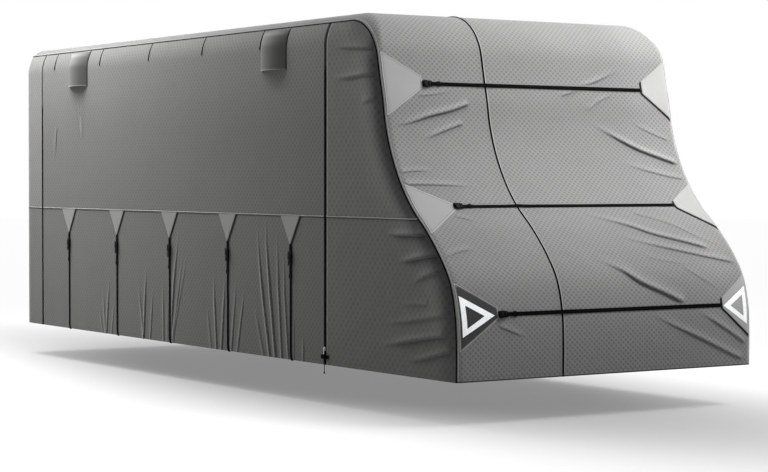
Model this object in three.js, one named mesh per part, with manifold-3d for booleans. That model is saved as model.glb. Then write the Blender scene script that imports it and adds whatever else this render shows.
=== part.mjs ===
// A fitted motorhome cover of grey non-woven cloth, hanging in the shape of the body it is pulled over.
// Millimetres, +Z up. The front faces -Y and the door side, with the zip, is -X.
// Sizes are written from the front hem (y) and from the hem's plane (z). The whole is moved at the end, so
// that the origin lies on the inner face of the roof cloth, at the middle of the cover.
import * as THREE from "three";
import { mergeVertices } from "three/addons/utils/BufferGeometryUtils.js";
import Module from "manifold-3d";

// Driving dimensions
const WIDTH = 2350;
const LENGTH = 6340;
const HEIGHT = 2270;
const BAND = 964; // height of the seam between the upper cloth and the skirt
const ZIP_Y = 1481;
const REAR_SEAM_Y = 5911;
const FRONT_SEAM_X = -377; // the cloth is joined here from two widths, off the middle
const ROOF_CROWN = 2;

// Cloth and trim
const CLOTH = 2;
const SEAM_GAP = 0.8; // between two cloths at a flat seam
const EDGE_PIPING = 6; // radius of the cord round the roof and down the front corners
const SEAM_PIPING = 5;
const PIPING_ROOM = 0.9; // from a cord's side to the cloth's edge
const EDGE_ROOM = EDGE_PIPING + PIPING_ROOM;
const SEAM_ROOM = SEAM_PIPING + PIPING_ROOM;
const ZIP_WIDTH = 26;
const PATCH_LIFT = 0.6; // a patch's underside above the cloth
const PATCH = 1.5;
const STRAP_WIDTH = 25;
const STRAP = 1.6;
const STRAP_LIFT = 2.1; // a strap's underside above the cloth
const STRAP_FACET = 40; // height of the flat facet under a front strap
const SEWN_GAP = 0.6; // from a patch's tip to the strap that is sewn to it
const BUCKLE_GAP = 0.7; // between a buckle and the strap under it

// The side view of the front, from the hem up to where the roof's front curve starts
const FRONT_PROFILE = [
  { y: 0, z: 0 },
  { y: 0, z: 230 },
  { y: 13, z: 400 },
  { y: 66, z: 590 },
  { y: 168, z: 741 },
  { y: 310, z: 892 },
  { y: 485, z: 1046 },
  { y: 612, z: 1203 },
  { y: 716, z: 1395 },
  { y: 770, z: 1556 },
  { y: 801, z: 1716 },
  { y: 834, z: 1850 },
];
const ROOF_CURVE = { radius: 345, y: 1202, from: 12, to: 90 }; // degrees of turn, level is 90
const REAR_CORNER = 180; // radius of the two upright corners at the back, seen from above

// How the edge between the strip over the top and the sides is rounded, on the front and on the roof:
// the cord lies `inset` from the side's plane and `drop` below the strip, and the cloth leaves it in two
// easy curves, `top` wide on the strip and `side` wide on the side.
const EDGE_FRONT = { inset: 5, drop: 12, top: 46, side: 170 };
const EDGE_ROOF = { inset: 42, drop: 50, top: 100, side: 150 };
// How much deeper the cord lies halfway through its turn onto the roof, which is level from endY on
const CORNER_DROP = { right: 18, left: 0, span: 1, endY: 1440 };

// How many cells the cloths are divided into
const ROWS = { skirt: 16, upper: 14, curve: 6 };
const STRIP_CELLS = { edge: 2, right: 5, left: 9 };
const SIDE_FRONT_CELLS = 5;

// Side straps, from the front to the back, each hanging from a pointed patch on the band seam
const SIDE_STRAP_Y = [1915, 2777, 3655, 4528, 5394];
const SIDE_PATCH = { width: 268, depth: 188, tip: 30, below: 3 };
const SIDE_BUCKLE = { top: 720, length: 90, width: 46, depth: 11 };

// Front straps, from the top down: the strap's height and its two patches' outline heights
const FRONT_STRAPS = [
  { z: 1808, tip: [1783, 1857], top: 2005, bottom: 1604 },
  { z: 1036, tip: [1015, 1056], top: 1177, bottom: 879 },
  { z: 396, tip: [374, 436], top: 590, bottom: 184 },
];
const PATCH_TIP = { right: -866, left: 918 };
const FRONT_BUCKLE = { length: 66, width: 42, depth: 12 };

// The reflective frame on the lowest patches. across is 0 at a patch's tip and 1 at its edge by the cord.
const TRIANGLE_OUTER = [{ across: 0.95, z: 514 }, { across: 0.09, z: 392 }, { across: 0.93, z: 268 }];
const TRIANGLE_INNER = [{ across: 0.82, z: 458 }, { across: 0.35, z: 391 }, { across: 0.81, z: 320 }];

// Hoods over the air vents, under the roof edge
const VENT_FLAP_Y = [2146, 5227];
const VENT_FLAP = { width: 330, top: 2192, bottom: 1938, stand: 58 };

// Folds of the skirt, each a ridge from its top down to the hem, listed from the front to the back.
// top and bottom are y, start is the height where it begins, lift is how far it stands out at the hem.
const RIGHT_SKIRT_FOLDS = [
  { top: 1762, bottom: 1752, start: 170, lift: 6 },
  { top: 1985, bottom: 1968, start: 740, lift: 9 },
  { top: 2095, bottom: 2038, start: 900, lift: 12 },
  { top: 2240, bottom: 2128, start: 940, lift: 17 },
  { top: 2345, bottom: 2212, start: 850, lift: 14 },
  { top: 2430, bottom: 2290, start: 490, lift: 9 },
  { top: 2535, bottom: 2610, start: 410, lift: 9 },
  { top: 2655, bottom: 2722, start: 520, lift: 12 },
  { top: 2838, bottom: 2862, start: 620, lift: 12 },
  { top: 2985, bottom: 2950, start: 520, lift: 10 },
  { top: 3080, bottom: 3042, start: 270, lift: 6 },
  { top: 3330, bottom: 3448, start: 710, lift: 10 },
  { top: 3440, bottom: 3524, start: 790, lift: 12 },
  { top: 3505, bottom: 3598, start: 900, lift: 15 },
  { top: 3762, bottom: 3752, start: 370, lift: 8 },
  { top: 3942, bottom: 3968, start: 380, lift: 8 },
  { top: 4042, bottom: 4086, start: 580, lift: 12 },
  { top: 4172, bottom: 4152, start: 350, lift: 9 },
  { top: 4600, bottom: 4596, start: 350, lift: 9 },
  { top: 4676, bottom: 4700, start: 470, lift: 12 },
  { top: 4790, bottom: 4780, start: 350, lift: 9 },
];
const LEFT_SKIRT_FOLDS = [
  { top: 2300, bottom: 2360, start: 700, lift: 13 },
  { top: 3180, bottom: 3120, start: 560, lift: 10 },
  { top: 4080, bottom: 4150, start: 640, lift: 12 },
  { top: 4900, bottom: 4860, start: 420, lift: 9 },
];

// Drag folds, each a ridge with a trough under it, from one point to the other.
// On the front x and z place them, on the sides y and z.
const FRONT_FOLDS = [
  { x0: -1130, z0: 1536, x1: -520, z1: 1690, lift: 11 },
  { x0: -880, z0: 1462, x1: -560, z1: 1562, lift: 7 },
  { x0: -1120, z0: 1262, x1: -860, z1: 1262, lift: 6 },
  { x0: -1120, z0: 752, x1: -840, z1: 806, lift: 8 },
  { x0: -860, z0: 326, x1: -680, z1: 246, lift: 6 },
  { x0: 500, z0: 1650, x1: 1110, z1: 1320, lift: 13 },
  { x0: 560, z0: 1350, x1: 1110, z1: 1222, lift: 9 },
  { x0: 60, z0: 978, x1: 1120, z1: 752, lift: 11 },
  { x0: 200, z0: 872, x1: 1130, z1: 656, lift: 10 },
  { x0: -30, z0: 712, x1: 700, z1: 440, lift: 12 },
  { x0: 640, z0: 352, x1: 1130, z1: 140, lift: 10 },
  { x0: 140, z0: 340, x1: 1080, z1: 60, lift: 12 },
];
const RIGHT_SIDE_FOLDS = [
  { y0: 330, z0: 878, y1: 760, z1: 862, lift: 10 },
  { y0: 240, z0: 762, y1: 680, z1: 690, lift: 12 },
  { y0: 160, z0: 662, y1: 560, z1: 550, lift: 8 },
  { y0: 90, z0: 400, y1: 720, z1: 300, lift: 7 },
  { y0: 50, z0: 292, y1: 900, z1: 160, lift: 12 },
  { y0: 50, z0: 182, y1: 560, z1: 90, lift: 9 },
  { y0: 880, z0: 1870, y1: 1180, z1: 1830, lift: 8 },
  { y0: 850, z0: 1702, y1: 1060, z1: 1680, lift: 5 },
];
const LEFT_SIDE_FOLDS = [
  { y0: 320, z0: 850, y1: 720, z1: 800, lift: 10 },
  { y0: 200, z0: 700, y1: 600, z1: 610, lift: 10 },
  { y0: 60, z0: 330, y1: 700, z1: 220, lift: 11 },
  { y0: 870, z0: 1780, y1: 1200, z1: 1730, lift: 7 },
];
const FOLD_WIDTH = 42;
const CALM = { near: 30, far: 75 }; // a fold has died out this near to a seam or strap, and is whole this far

const CLOTH_GREY = new THREE.Color("#8b8b89");
const HALF = WIDTH / 2;
const PATCH_EDGE = HALF - EDGE_FRONT.inset - EDGE_PIPING - 12; // where the front patches meet the edge cord

const wasm = await Module();
wasm.setup();

function material(color, roughness = 0.9, metalness = 0) {
  return new THREE.MeshStandardMaterial({ color, roughness, metalness });
}

function ease(t) {
  const held = THREE.MathUtils.clamp(t, 0, 1);
  return held * held * (3 - 2 * held);
}

function mix(a, b, t) {
  return a + (b - a) * t;
}

// The side view of the strip that runs up the front and over the roof, as points a few millimetres apart
function profilePoints() {
  const rise = new THREE.CatmullRomCurve3(
    FRONT_PROFILE.map(({ y, z }) => new THREE.Vector3(0, y, z)),
    false,
    "centripetal",
  );
  const points = rise.getSpacedPoints(300);
  const { radius, y: centreY, from, to } = ROOF_CURVE;
  const centreZ = HEIGHT - radius;
  for (let angle = from; angle <= to; angle += 1) {
    const turn = THREE.MathUtils.degToRad(angle);
    const y = centreY - radius * Math.cos(turn);
    const z = centreZ + radius * Math.sin(turn);
    points.push(new THREE.Vector3(0, y, z));
  }
  return points;
}

const PROFILE = profilePoints();
const PROFILE_LENGTHS = PROFILE.reduce((lengths, point, i) => {
  lengths.push(i === 0 ? 0 : lengths[i - 1] + point.distanceTo(PROFILE[i - 1]));
  return lengths;
}, []);
const PROFILE_LENGTH = PROFILE_LENGTHS.at(-1);
const CURVE_LENGTH = THREE.MathUtils.degToRad(ROOF_CURVE.to - ROOF_CURVE.from) * ROOF_CURVE.radius;
const CURVE_START = PROFILE_LENGTH - CURVE_LENGTH;

function profileAt(length) {
  const found = PROFILE_LENGTHS.findIndex((value) => value >= length - 1e-9);
  const i = THREE.MathUtils.clamp(found < 0 ? PROFILE.length - 1 : found, 1, PROFILE.length - 1);
  const span = PROFILE_LENGTHS[i] - PROFILE_LENGTHS[i - 1];
  return PROFILE[i - 1].clone().lerp(PROFILE[i], (length - PROFILE_LENGTHS[i - 1]) / span);
}

// A side's edge rounding where the strip has turned this far from the front towards the roof
function edgeAt(turn, side) {
  const edge = {};
  for (const key of Object.keys(EDGE_FRONT)) {
    edge[key] = mix(EDGE_FRONT[key], EDGE_ROOF[key], ease(turn));
  }
  const deeper = side < 0 ? CORNER_DROP.right : CORNER_DROP.left;
  edge.drop += deeper * Math.sin(Math.PI * CORNER_DROP.span * THREE.MathUtils.clamp(turn, 0, 1));
  return edge;
}

// A row of the strip: its point and outward direction in the side view, and its edge on each side
function stripRow(length) {
  const step = 6;
  const point = profileAt(length);
  const ahead = profileAt(Math.min(length + step, PROFILE_LENGTH));
  const behind = profileAt(Math.max(length - step, 0));
  const along = ahead.sub(behind).normalize();
  const turn = (length - CURVE_START) / CURVE_LENGTH;
  return {
    y: point.y,
    z: point.z,
    out: new THREE.Vector3(0, -along.z, along.y),
    rightEdge: edgeAt(turn, -1),
    leftEdge: edgeAt(turn, 1),
    half: HALF,
  };
}

function edgeOn(row, side) {
  return side < 0 ? row.rightEdge : row.leftEdge;
}

// Where a side's edge cord crosses a row, in the side view
function edgePoint(row, side, extra = 0) {
  const depth = edgeOn(row, side).drop + extra;
  return { y: row.y - row.out.y * depth, z: row.z - row.out.z * depth };
}

// The length along the profile up to which a row's height, as measured by 'height', stays below a value
function lengthWhere(height, value) {
  let low = 0;
  let high = PROFILE_LENGTH;
  for (let i = 0; i < 50; i += 1) {
    const middle = (low + high) / 2;
    if (height(stripRow(middle)) < value) low = middle;
    else high = middle;
  }
  return low;
}

function spaced(from, to, count) {
  return Array.from({ length: count + 1 }, (_, i) => mix(from, to, i / count));
}

// The band seam is where the side cloth's front edge reaches the band's height
const BAND_LENGTH = lengthWhere((row) => edgePoint(row, -1, EDGE_ROOM).z, BAND);
const STRAP_LENGTHS = FRONT_STRAPS.map(({ z }) => lengthWhere((row) => row.z, z));

// Rows evenly spaced between two lengths, except that each strap has one flat facet under it
function rowsBetween(from, to, count) {
  const straps = STRAP_LENGTHS.filter((at) => at > from && at < to);
  const apart = (length) => Math.min(...straps.map((at) => Math.abs(length - at)), Infinity);
  const inner = spaced(from, to, count).slice(1, -1).filter((length) => apart(length) > 2 * STRAP_FACET);
  const facets = straps.flatMap((at) => [at - STRAP_FACET / 2, at + STRAP_FACET / 2]);
  return [from, ...[...inner, ...facets].sort((a, b) => a - b), to].map(stripRow);
}

const SKIRT_ROWS = rowsBetween(0, BAND_LENGTH, ROWS.skirt);
const UPPER_ROWS = [
  ...rowsBetween(BAND_LENGTH, CURVE_START, ROWS.upper),
  ...spaced(CURVE_START, PROFILE_LENGTH, ROWS.curve).slice(1).map(stripRow),
];
const FRONT_ROWS = [...SKIRT_ROWS, ...UPPER_ROWS.slice(1)];

// The roof's rear edge cord runs round two corners of this radius
const ROOF_END = LENGTH - EDGE_ROOF.inset;
const ROOF_CORNER = REAR_CORNER - EDGE_ROOF.inset;
const ROOF_HALF = HALF - EDGE_ROOF.inset;
const ROOF_ROW_Y = [CORNER_DROP.endY, 2020, 2800, 3600, 4500, 5400, REAR_SEAM_Y, ROOF_END - ROOF_CORNER];
const CORNER_ANGLES = [30, 60, 90];

function roofRow(y, half = ROOF_HALF) {
  const out = new THREE.Vector3(0, 0, 1);
  return { y, z: HEIGHT, out, rightEdge: EDGE_ROOF, leftEdge: EDGE_ROOF, half: half + EDGE_ROOF.inset };
}

// The strip's last rows stop 'room' short of the rear cord, and narrow round its corners
function rearRoofRows(room) {
  return CORNER_ANGLES.map((degrees) => {
    const turn = THREE.MathUtils.degToRad(degrees);
    const y = ROOF_END - ROOF_CORNER + (ROOF_CORNER - room) * Math.sin(turn);
    const half = ROOF_HALF - ROOF_CORNER + ROOF_CORNER * Math.cos(turn);
    return roofRow(y, half);
  });
}

// How far a roof point lies inside the line of the edge cord, seen from above
function insideRoof(x, y) {
  const beyondX = Math.abs(x) - (ROOF_HALF - ROOF_CORNER);
  const beyondY = y - (ROOF_END - ROOF_CORNER);
  const corner = Math.hypot(Math.max(beyondX, 0), Math.max(beyondY, 0));
  return ROOF_CORNER - corner - Math.min(Math.max(beyondX, beyondY), 0);
}

// 1 well away from a line, and 0 on it
function calm(distance) {
  return ease((Math.abs(distance) - CALM.near) / (CALM.far - CALM.near));
}

// How far one drag fold lifts the cloth at a point of its plane: a ridge, with a shallower trough below
function dragFold({ a0, b0, a1, b1, lift }, a, b) {
  const alongA = a1 - a0;
  const alongB = b1 - b0;
  const size = Math.hypot(alongA, alongB);
  const t = ((a - a0) * alongA + (b - b0) * alongB) / (size * size);
  if (t < -0.1 || t > 1.1) return 0;
  const lean = alongA < 0 ? -1 : 1;
  const off = (lean * ((b - b0) * alongA - (a - a0) * alongB)) / size / FOLD_WIDTH;
  const fade = ease((t + 0.1) / 0.3) * ease((1.1 - t) / 0.5);
  return lift * fade * (Math.exp(-((off - 0.7) ** 2)) - 0.6 * Math.exp(-((off + 0.7) ** 2)));
}

function frontFolds(x, z, half) {
  let lift = 0;
  for (const { x0, z0, x1, z1, lift: height } of FRONT_FOLDS) {
    lift += dragFold({ a0: x0, b0: z0, a1: x1, b1: z1, lift: height }, x, z);
  }
  for (const strap of FRONT_STRAPS) lift *= calm(z - strap.z);
  lift *= calm(x - FRONT_SEAM_X) * ease((half - Math.abs(x)) / CALM.far - 0.4) * ease(z / CALM.near - 1);
  for (const strap of FRONT_STRAPS) lift *= 1 - underPatch(x, z, strap);
  return lift;
}

// 1 under a front patch and 0 away from it
function underPatch(x, z, { tip, top, bottom }) {
  const tipX = x < 0 ? PATCH_TIP.right : PATCH_TIP.left;
  const across = (Math.abs(x) - Math.abs(tipX)) / (HALF - Math.abs(tipX));
  const above = z - mix(tip[1], top, Math.max(across, 0));
  const below = mix(tip[0], bottom, Math.max(across, 0)) - z;
  const outside = Math.max(above, below, -across * (HALF - Math.abs(tipX)));
  return 1 - ease(outside / CALM.near);
}

function sideFolds(folds, y, z, fromEdge) {
  let lift = 0;
  for (const { y0, z0, y1, z1, lift: height } of folds) {
    lift += dragFold({ a0: y0, b0: z0, a1: y1, b1: z1, lift: height }, y, z);
  }
  return lift * ease(fromEdge / CALM.far) * calm(y - ZIP_Y) * calm(z - BAND) * ease(z / CALM.near - 1);
}

// A point of the strip's outer face
function stripPoint(row, x) {
  const onRoof = row.out.z > 0.999;
  const edge = edgeOn(row, x);
  const inside = onRoof ? insideRoof(x, row.y) : row.half - edge.inset - Math.abs(x);
  const drop = edge.drop * Math.max(0, 1 - Math.max(inside, 0) / edge.top) ** 2;
  const turned = ease((row.out.z - 0.8) / 0.2);
  const crown = ROOF_CROWN * turned * (1 - (x / HALF) ** 2);
  const fold = onRoof ? 0 : frontFolds(x, row.z, row.half);
  const point = new THREE.Vector3(x, row.y, row.z);
  return point.addScaledVector(row.out, crown + fold - drop);
}

// How far inside the profile a point of the side view lies, and a side's edge rounding there
function insideProfile(side, y, z) {
  let best = Infinity;
  let at = 0;
  PROFILE.forEach((point, i) => {
    const distance = Math.hypot(point.y - y, point.z - z);
    if (distance < best) {
      best = distance;
      at = PROFILE_LENGTHS[i];
    }
  });
  const roof = HEIGHT - z;
  if (y > ROOF_CURVE.y && roof < best) return { depth: roof, edge: EDGE_ROOF };
  return { depth: best, edge: edgeAt((at - CURVE_START) / CURVE_LENGTH, side) };
}

function sideInset(side, y, z) {
  const { depth, edge } = insideProfile(side, y, z);
  return edge.inset * Math.max(0, 1 - Math.max(depth - edge.drop, 0) / edge.side) ** 2;
}

// A point of a side's outer face, side being -1 for the right and 1 for the left
function sidePoint(side, y, z, lift = 0) {
  return new THREE.Vector3(side * (HALF - sideInset(side, y, z) + lift), y, z);
}

function gridNormal(grid, i, j) {
  const up = grid[Math.min(i + 1, grid.length - 1)][j];
  const down = grid[Math.max(i - 1, 0)][j];
  const right = grid[i][Math.min(j + 1, grid[0].length - 1)];
  const left = grid[i][Math.max(j - 1, 0)];
  return right.clone().sub(left).cross(up.clone().sub(down)).normalize();
}

// A closed sheet on a grid of outer points whose columns turn towards its rows about the outward side.
// It fills from 'from' to 'to' millimetres out of that face.
function sheetGeometry(grid, from = -CLOTH, to = 0) {
  const rows = grid.length;
  const columns = grid[0].length;
  const positions = [];
  for (const offset of [to, from]) {
    grid.forEach((row, i) => {
      row.forEach((point, j) => {
        positions.push(...point.clone().addScaledVector(gridNormal(grid, i, j), offset).toArray());
      });
    });
  }
  const outer = (i, j) => i * columns + j;
  const inner = (i, j) => rows * columns + outer(i, j);
  const faces = [];
  for (let i = 0; i < rows - 1; i += 1) {
    for (let j = 0; j < columns - 1; j += 1) {
      faces.push(outer(i, j), outer(i, j + 1), outer(i + 1, j + 1));
      faces.push(outer(i, j), outer(i + 1, j + 1), outer(i + 1, j));
      faces.push(inner(i, j), inner(i + 1, j + 1), inner(i, j + 1));
      faces.push(inner(i, j), inner(i + 1, j), inner(i + 1, j + 1));
    }
  }
  const wall = (i0, j0, i1, j1) => {
    faces.push(outer(i0, j0), inner(i0, j0), inner(i1, j1));
    faces.push(outer(i0, j0), inner(i1, j1), outer(i1, j1));
  };
  for (let j = 0; j < columns - 1; j += 1) {
    wall(0, j, 0, j + 1);
    wall(rows - 1, j + 1, rows - 1, j);
  }
  for (let i = 0; i < rows - 1; i += 1) {
    wall(i + 1, 0, i, 0);
    wall(i, columns - 1, i + 1, columns - 1);
  }
  return meshGeometry(positions, faces);
}

function meshGeometry(positions, faces) {
  const geometry = new THREE.BufferGeometry();
  geometry.setAttribute("position", new THREE.Float32BufferAttribute(positions, 3));
  geometry.setIndex(faces);
  return geometry;
}

// A closed bar through rings of points, each seen counter-clockwise from the bar's far end
function barGeometry(rings) {
  const sides = rings[0].length;
  const positions = rings.flat().flatMap((point) => point.toArray());
  const faces = [];
  for (let i = 0; i < rings.length - 1; i += 1) {
    for (let j = 0; j < sides; j += 1) {
      const next = (j + 1) % sides;
      const low = i * sides;
      const high = low + sides;
      faces.push(low + j, low + next, high + next, low + j, high + next, high + j);
    }
  }
  const last = (rings.length - 1) * sides;
  for (let j = 1; j < sides - 1; j += 1) {
    faces.push(0, j + 1, j, last, last + j, last + j + 1);
  }
  return meshGeometry(positions, faces);
}

function toSolid(geometry) {
  const bare = geometry.clone();
  bare.deleteAttribute("normal");
  bare.deleteAttribute("uv");
  const merged = mergeVertices(bare, 1e-4);
  return new wasm.Manifold(new wasm.Mesh({
    numProp: 3,
    vertProperties: new Float32Array(merged.attributes.position.array),
    triVerts: new Uint32Array(merged.index.array),
  }));
}

function toGeometry(solid) {
  const { vertProperties, triVerts, numProp } = solid.getMesh();
  const positions = [];
  for (let i = 0; i < vertProperties.length; i += numProp) {
    positions.push(...vertProperties.subarray(i, i + 3));
  }
  return meshGeometry(positions, Array.from(triVerts));
}

function cut(geometry, tool) {
  return toGeometry(toSolid(geometry).intersect(toSolid(tool)));
}

const cover = new THREE.Group();

function add(name, geometry, finish) {
  const mesh = new THREE.Mesh(geometry, finish);
  mesh.name = name;
  cover.add(mesh);
}

// x places across a row of the strip, from the side edge inwards to the front seam
function stripPlaces(row, side) {
  const { inset, top } = edgeOn(row, side);
  const edge = row.half - inset - EDGE_ROOM;
  const flat = Math.min(edge - 20, row.half - inset - top);
  const cells = side < 0 ? STRIP_CELLS.right : STRIP_CELLS.left;
  const seam = FRONT_SEAM_X + side * SEAM_ROOM;
  const places = spaced(edge, flat, STRIP_CELLS.edge).map((x) => side * x);
  return [...places, ...spaced(side * flat, seam, cells).slice(1)];
}

function addStrip() {
  const rows = [
    ...FRONT_ROWS,
    ...ROOF_ROW_Y.map((y) => roofRow(y)),
    ...rearRoofRows(EDGE_ROOM),
  ];
  for (const [name, side] of [["right", -1], ["left", 1]]) {
    const grid = rows.map((row) => {
      const places = stripPlaces(row, side);
      if (side > 0) places.reverse();
      return places.map((x) => stripPoint(row, x));
    });
    add(`front_roof_cloth_${name}`, sheetGeometry(grid), material(CLOTH_GREY));
  }
}

// Heights of the roof edge's rounding on the sides and the back, up to just under the edge cord
const EDGE_TOP = HEIGHT - EDGE_ROOF.drop - EDGE_ROOM;
const ROUNDING_Z = [2072, 2110, 2145, 2175, 2198, EDGE_TOP];
const UPPER_Z = [BAND + SEAM_GAP / 2, 1290, 1620, 1938, ...ROUNDING_Z];

// The height of the sides' upper edge, which follows the cord down before it turns to the front
function sideTop(side, y) {
  const front = edgePoint(FRONT_ROWS.at(-1), side, EDGE_ROOM);
  return mix(front.z, EDGE_TOP, THREE.MathUtils.clamp((y - front.y) / (CORNER_DROP.endY - front.y), 0, 1));
}

// A side cloth between an upright line and the front corner's edge cord. low is its lower edge's height,
// and 'top' gives its upper edge's.
function frontSideGrid(side, rows, backY, folds, cells, low, top) {
  const nearFront = [0, 40, 110];
  return rows.map((row, i) => {
    const edge = edgePoint(row, side, EDGE_ROOM);
    const first = nearFront.map((step) => edge.y + step);
    const rest = spaced(first.at(-1), backY, cells).slice(1);
    return [...first, ...rest].map((y) => {
      const z = i === rows.length - 1 ? top(side, y) : Math.max(edge.z, low);
      return sidePoint(side, y, z, sideFolds(folds, y, z, y - edge.y));
    });
  });
}

// The grid's rows run up. On the right side its columns have to run forwards, and on the left backwards.
function sideSheet(side, grid) {
  const ordered = side < 0 ? grid.map((row) => [...row].reverse()) : grid;
  return sheetGeometry(ordered);
}

function skirtTop() {
  return BAND - SEAM_GAP / 2;
}

function addFrontSides() {
  const zipEdge = ZIP_Y - ZIP_WIDTH / 2 - PIPING_ROOM;
  const right = [
    ["front_side_skirt_right", SKIRT_ROWS, 0, skirtTop],
    ["front_side_upper_right", UPPER_ROWS, BAND + SEAM_GAP / 2, sideTop],
  ];
  for (const [name, rows, bottom, top] of right) {
    const grid = frontSideGrid(-1, rows, zipEdge, RIGHT_SIDE_FOLDS, SIDE_FRONT_CELLS, bottom, top);
    add(name, sideSheet(-1, grid), material(CLOTH_GREY));
  }
}

// The left side has no zip, so its cloths run the whole length
function addLeftSide() {
  const seam = REAR_SEAM_Y - SEAM_ROOM;
  const join = ZIP_Y;
  const upper = frontSideGrid(1, UPPER_ROWS, join, LEFT_SIDE_FOLDS, 3, BAND + SEAM_GAP / 2, sideTop);
  const rest = spaced(join, seam, 4).slice(1);
  upper.forEach((row) => rest.forEach((y) => row.push(sidePoint(1, y, row.at(-1).z))));
  add("side_upper_left", sideSheet(1, upper), material(CLOTH_GREY));

  const skirt = frontSideGrid(1, SKIRT_ROWS, join, LEFT_SIDE_FOLDS, 3, 0, skirtTop);
  const columns = skirtColumns(LEFT_SKIRT_FOLDS, join, seam).slice(1);
  skirt.forEach((row) => columns.forEach((column) => row.push(skirtPoint(1, column, row[0].z))));
  add("side_skirt_left", sideSheet(1, skirt), material(CLOTH_GREY));
}

// Upright lines of a skirt, with the folds as raised lines and a sunk line between two folds close together
function skirtColumns(folds, front, back) {
  const flat = (y) => ({ top: y, bottom: y, start: 0, lift: 0 });
  const columns = [flat(front)];
  const wide = 90;
  folds.forEach((fold, i) => {
    const before = columns.at(-1);
    const strap = SIDE_STRAP_Y.find((y) => y > before.bottom && y < fold.bottom);
    if (strap) columns.push(flat(strap - STRAP_WIDTH), flat(strap + STRAP_WIDTH));
    else if (i > 0 && fold.bottom - before.bottom < 2 * wide) columns.push(sunkLine(before, fold));
    else columns.push(edgeLine(fold, -wide / 2));
    columns.push(fold);
    const next = folds[i + 1];
    if (!next || next.bottom - fold.bottom >= 2 * wide) columns.push(edgeLine(fold, wide / 2));
  });
  for (const strap of SIDE_STRAP_Y) {
    if (strap > columns.at(-1).bottom) columns.push(flat(strap - STRAP_WIDTH), flat(strap + STRAP_WIDTH));
  }
  columns.push(flat(back));
  return columns;
}

function sunkLine(a, b) {
  return {
    top: (a.top + b.top) / 2,
    bottom: (a.bottom + b.bottom) / 2,
    start: Math.min(a.start, b.start),
    lift: -0.35 * Math.min(a.lift, b.lift),
  };
}

function edgeLine(fold, away) {
  return { top: fold.top + away, bottom: fold.bottom + away, start: fold.start, lift: -0.15 * fold.lift };
}

// A fold grows from its start down to the hem, and stays clear of the band seam
function skirtPoint(side, { top, bottom, start, lift }, z) {
  const y = mix(bottom, top, z / BAND);
  const grown = start > 0 ? ease((start - z) / start + 0.12) * calm(BAND - z) : 0;
  return new THREE.Vector3(side * (HALF + lift * grown), y, z);
}

function addRightSide() {
  const front = ZIP_Y + ZIP_WIDTH / 2 + PIPING_ROOM;
  const seam = REAR_SEAM_Y - SEAM_ROOM;
  const places = spaced(front, seam, 9);
  const upper = UPPER_Z.map((z) => places.map((y) => sidePoint(-1, y, z)));
  add("side_upper_right", sideSheet(-1, upper), material(CLOTH_GREY));

  const columns = skirtColumns(RIGHT_SKIRT_FOLDS, front, seam);
  const heights = [0, 190, 390, 600, 800, BAND - SEAM_GAP / 2];
  const skirt = heights.map((z) => columns.map((column) => skirtPoint(-1, column, z)));
  add("side_skirt_right", sideSheet(-1, skirt), material(CLOTH_GREY));
}

// How far the sides and the back come in under the roof's edge at a height
function roofInset(z) {
  const depth = HEIGHT - z;
  const { inset, drop, side } = EDGE_ROOF;
  return inset * Math.max(0, 1 - Math.max(depth - drop, 0) / side) ** 2;
}

// The rear cloth's line at a height, seen from above, from the right seam round the back to the left one
function rearLine(z) {
  const inset = roofInset(z);
  const seam = REAR_SEAM_Y + SEAM_ROOM;
  const half = HALF - inset;
  const end = LENGTH - inset;
  const radius = REAR_CORNER - inset;
  const right = [new THREE.Vector3(-half, seam, z)];
  for (const degrees of [0, 18, 36, 54, 72, 90]) {
    const turn = THREE.MathUtils.degToRad(degrees);
    const x = -half + radius * (1 - Math.cos(turn));
    right.push(new THREE.Vector3(x, end - radius * (1 - Math.sin(turn)), z));
  }
  const left = right.map((point) => new THREE.Vector3(-point.x, point.y, z)).reverse();
  const across = spaced(right.at(-1).x, left[0].x, 7).slice(1, -1);
  return [...right, ...across.map((x) => new THREE.Vector3(x, end, z)), ...left];
}

function addRear() {
  const forwards = (z) => rearLine(z).reverse();
  const skirt = [0, 320, 640, BAND - SEAM_GAP / 2].map(forwards);
  add("rear_skirt", sheetGeometry(skirt), material(CLOTH_GREY));
  add("rear_upper", sheetGeometry(UPPER_Z.map(forwards)), material(CLOTH_GREY));
}

// A round of points about a centre, turning from 'side' towards 'out'
function ring(centre, side, out, radius, sides = 6) {
  return Array.from({ length: sides }, (_, i) => {
    const angle = ((i + 0.5) * 2 * Math.PI) / sides;
    const point = centre.clone().addScaledVector(side, radius * Math.cos(angle));
    return point.addScaledVector(out, radius * Math.sin(angle));
  });
}

// Stations of one side's half of the edge cord, from the front hem to the middle of the roof's back
function edgeStations(side) {
  const up = new THREE.Vector3(0, 0, 1);
  const stations = FRONT_ROWS.map((row) => {
    const { y, z } = edgePoint(row, side);
    const centre = new THREE.Vector3(side * (HALF - edgeOn(row, side).inset), y, z);
    return { centre, toSide: new THREE.Vector3(side, 0, 0), out: row.out };
  });
  const level = HEIGHT - EDGE_ROOF.drop;
  for (const y of [CORNER_DROP.endY, 3600, ROOF_END - ROOF_CORNER]) {
    const centre = new THREE.Vector3(side * ROOF_HALF, y, level);
    stations.push({ centre, toSide: new THREE.Vector3(side, 0, 0), out: up });
  }
  const middle = new THREE.Vector3(side * (ROOF_HALF - ROOF_CORNER), ROOF_END - ROOF_CORNER, level);
  for (const degrees of CORNER_ANGLES) {
    const turn = THREE.MathUtils.degToRad(degrees);
    const toSide = new THREE.Vector3(side * Math.cos(turn), Math.sin(turn), 0);
    stations.push({ centre: middle.clone().addScaledVector(toSide, ROOF_CORNER), toSide, out: up });
  }
  return stations;
}

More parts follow.
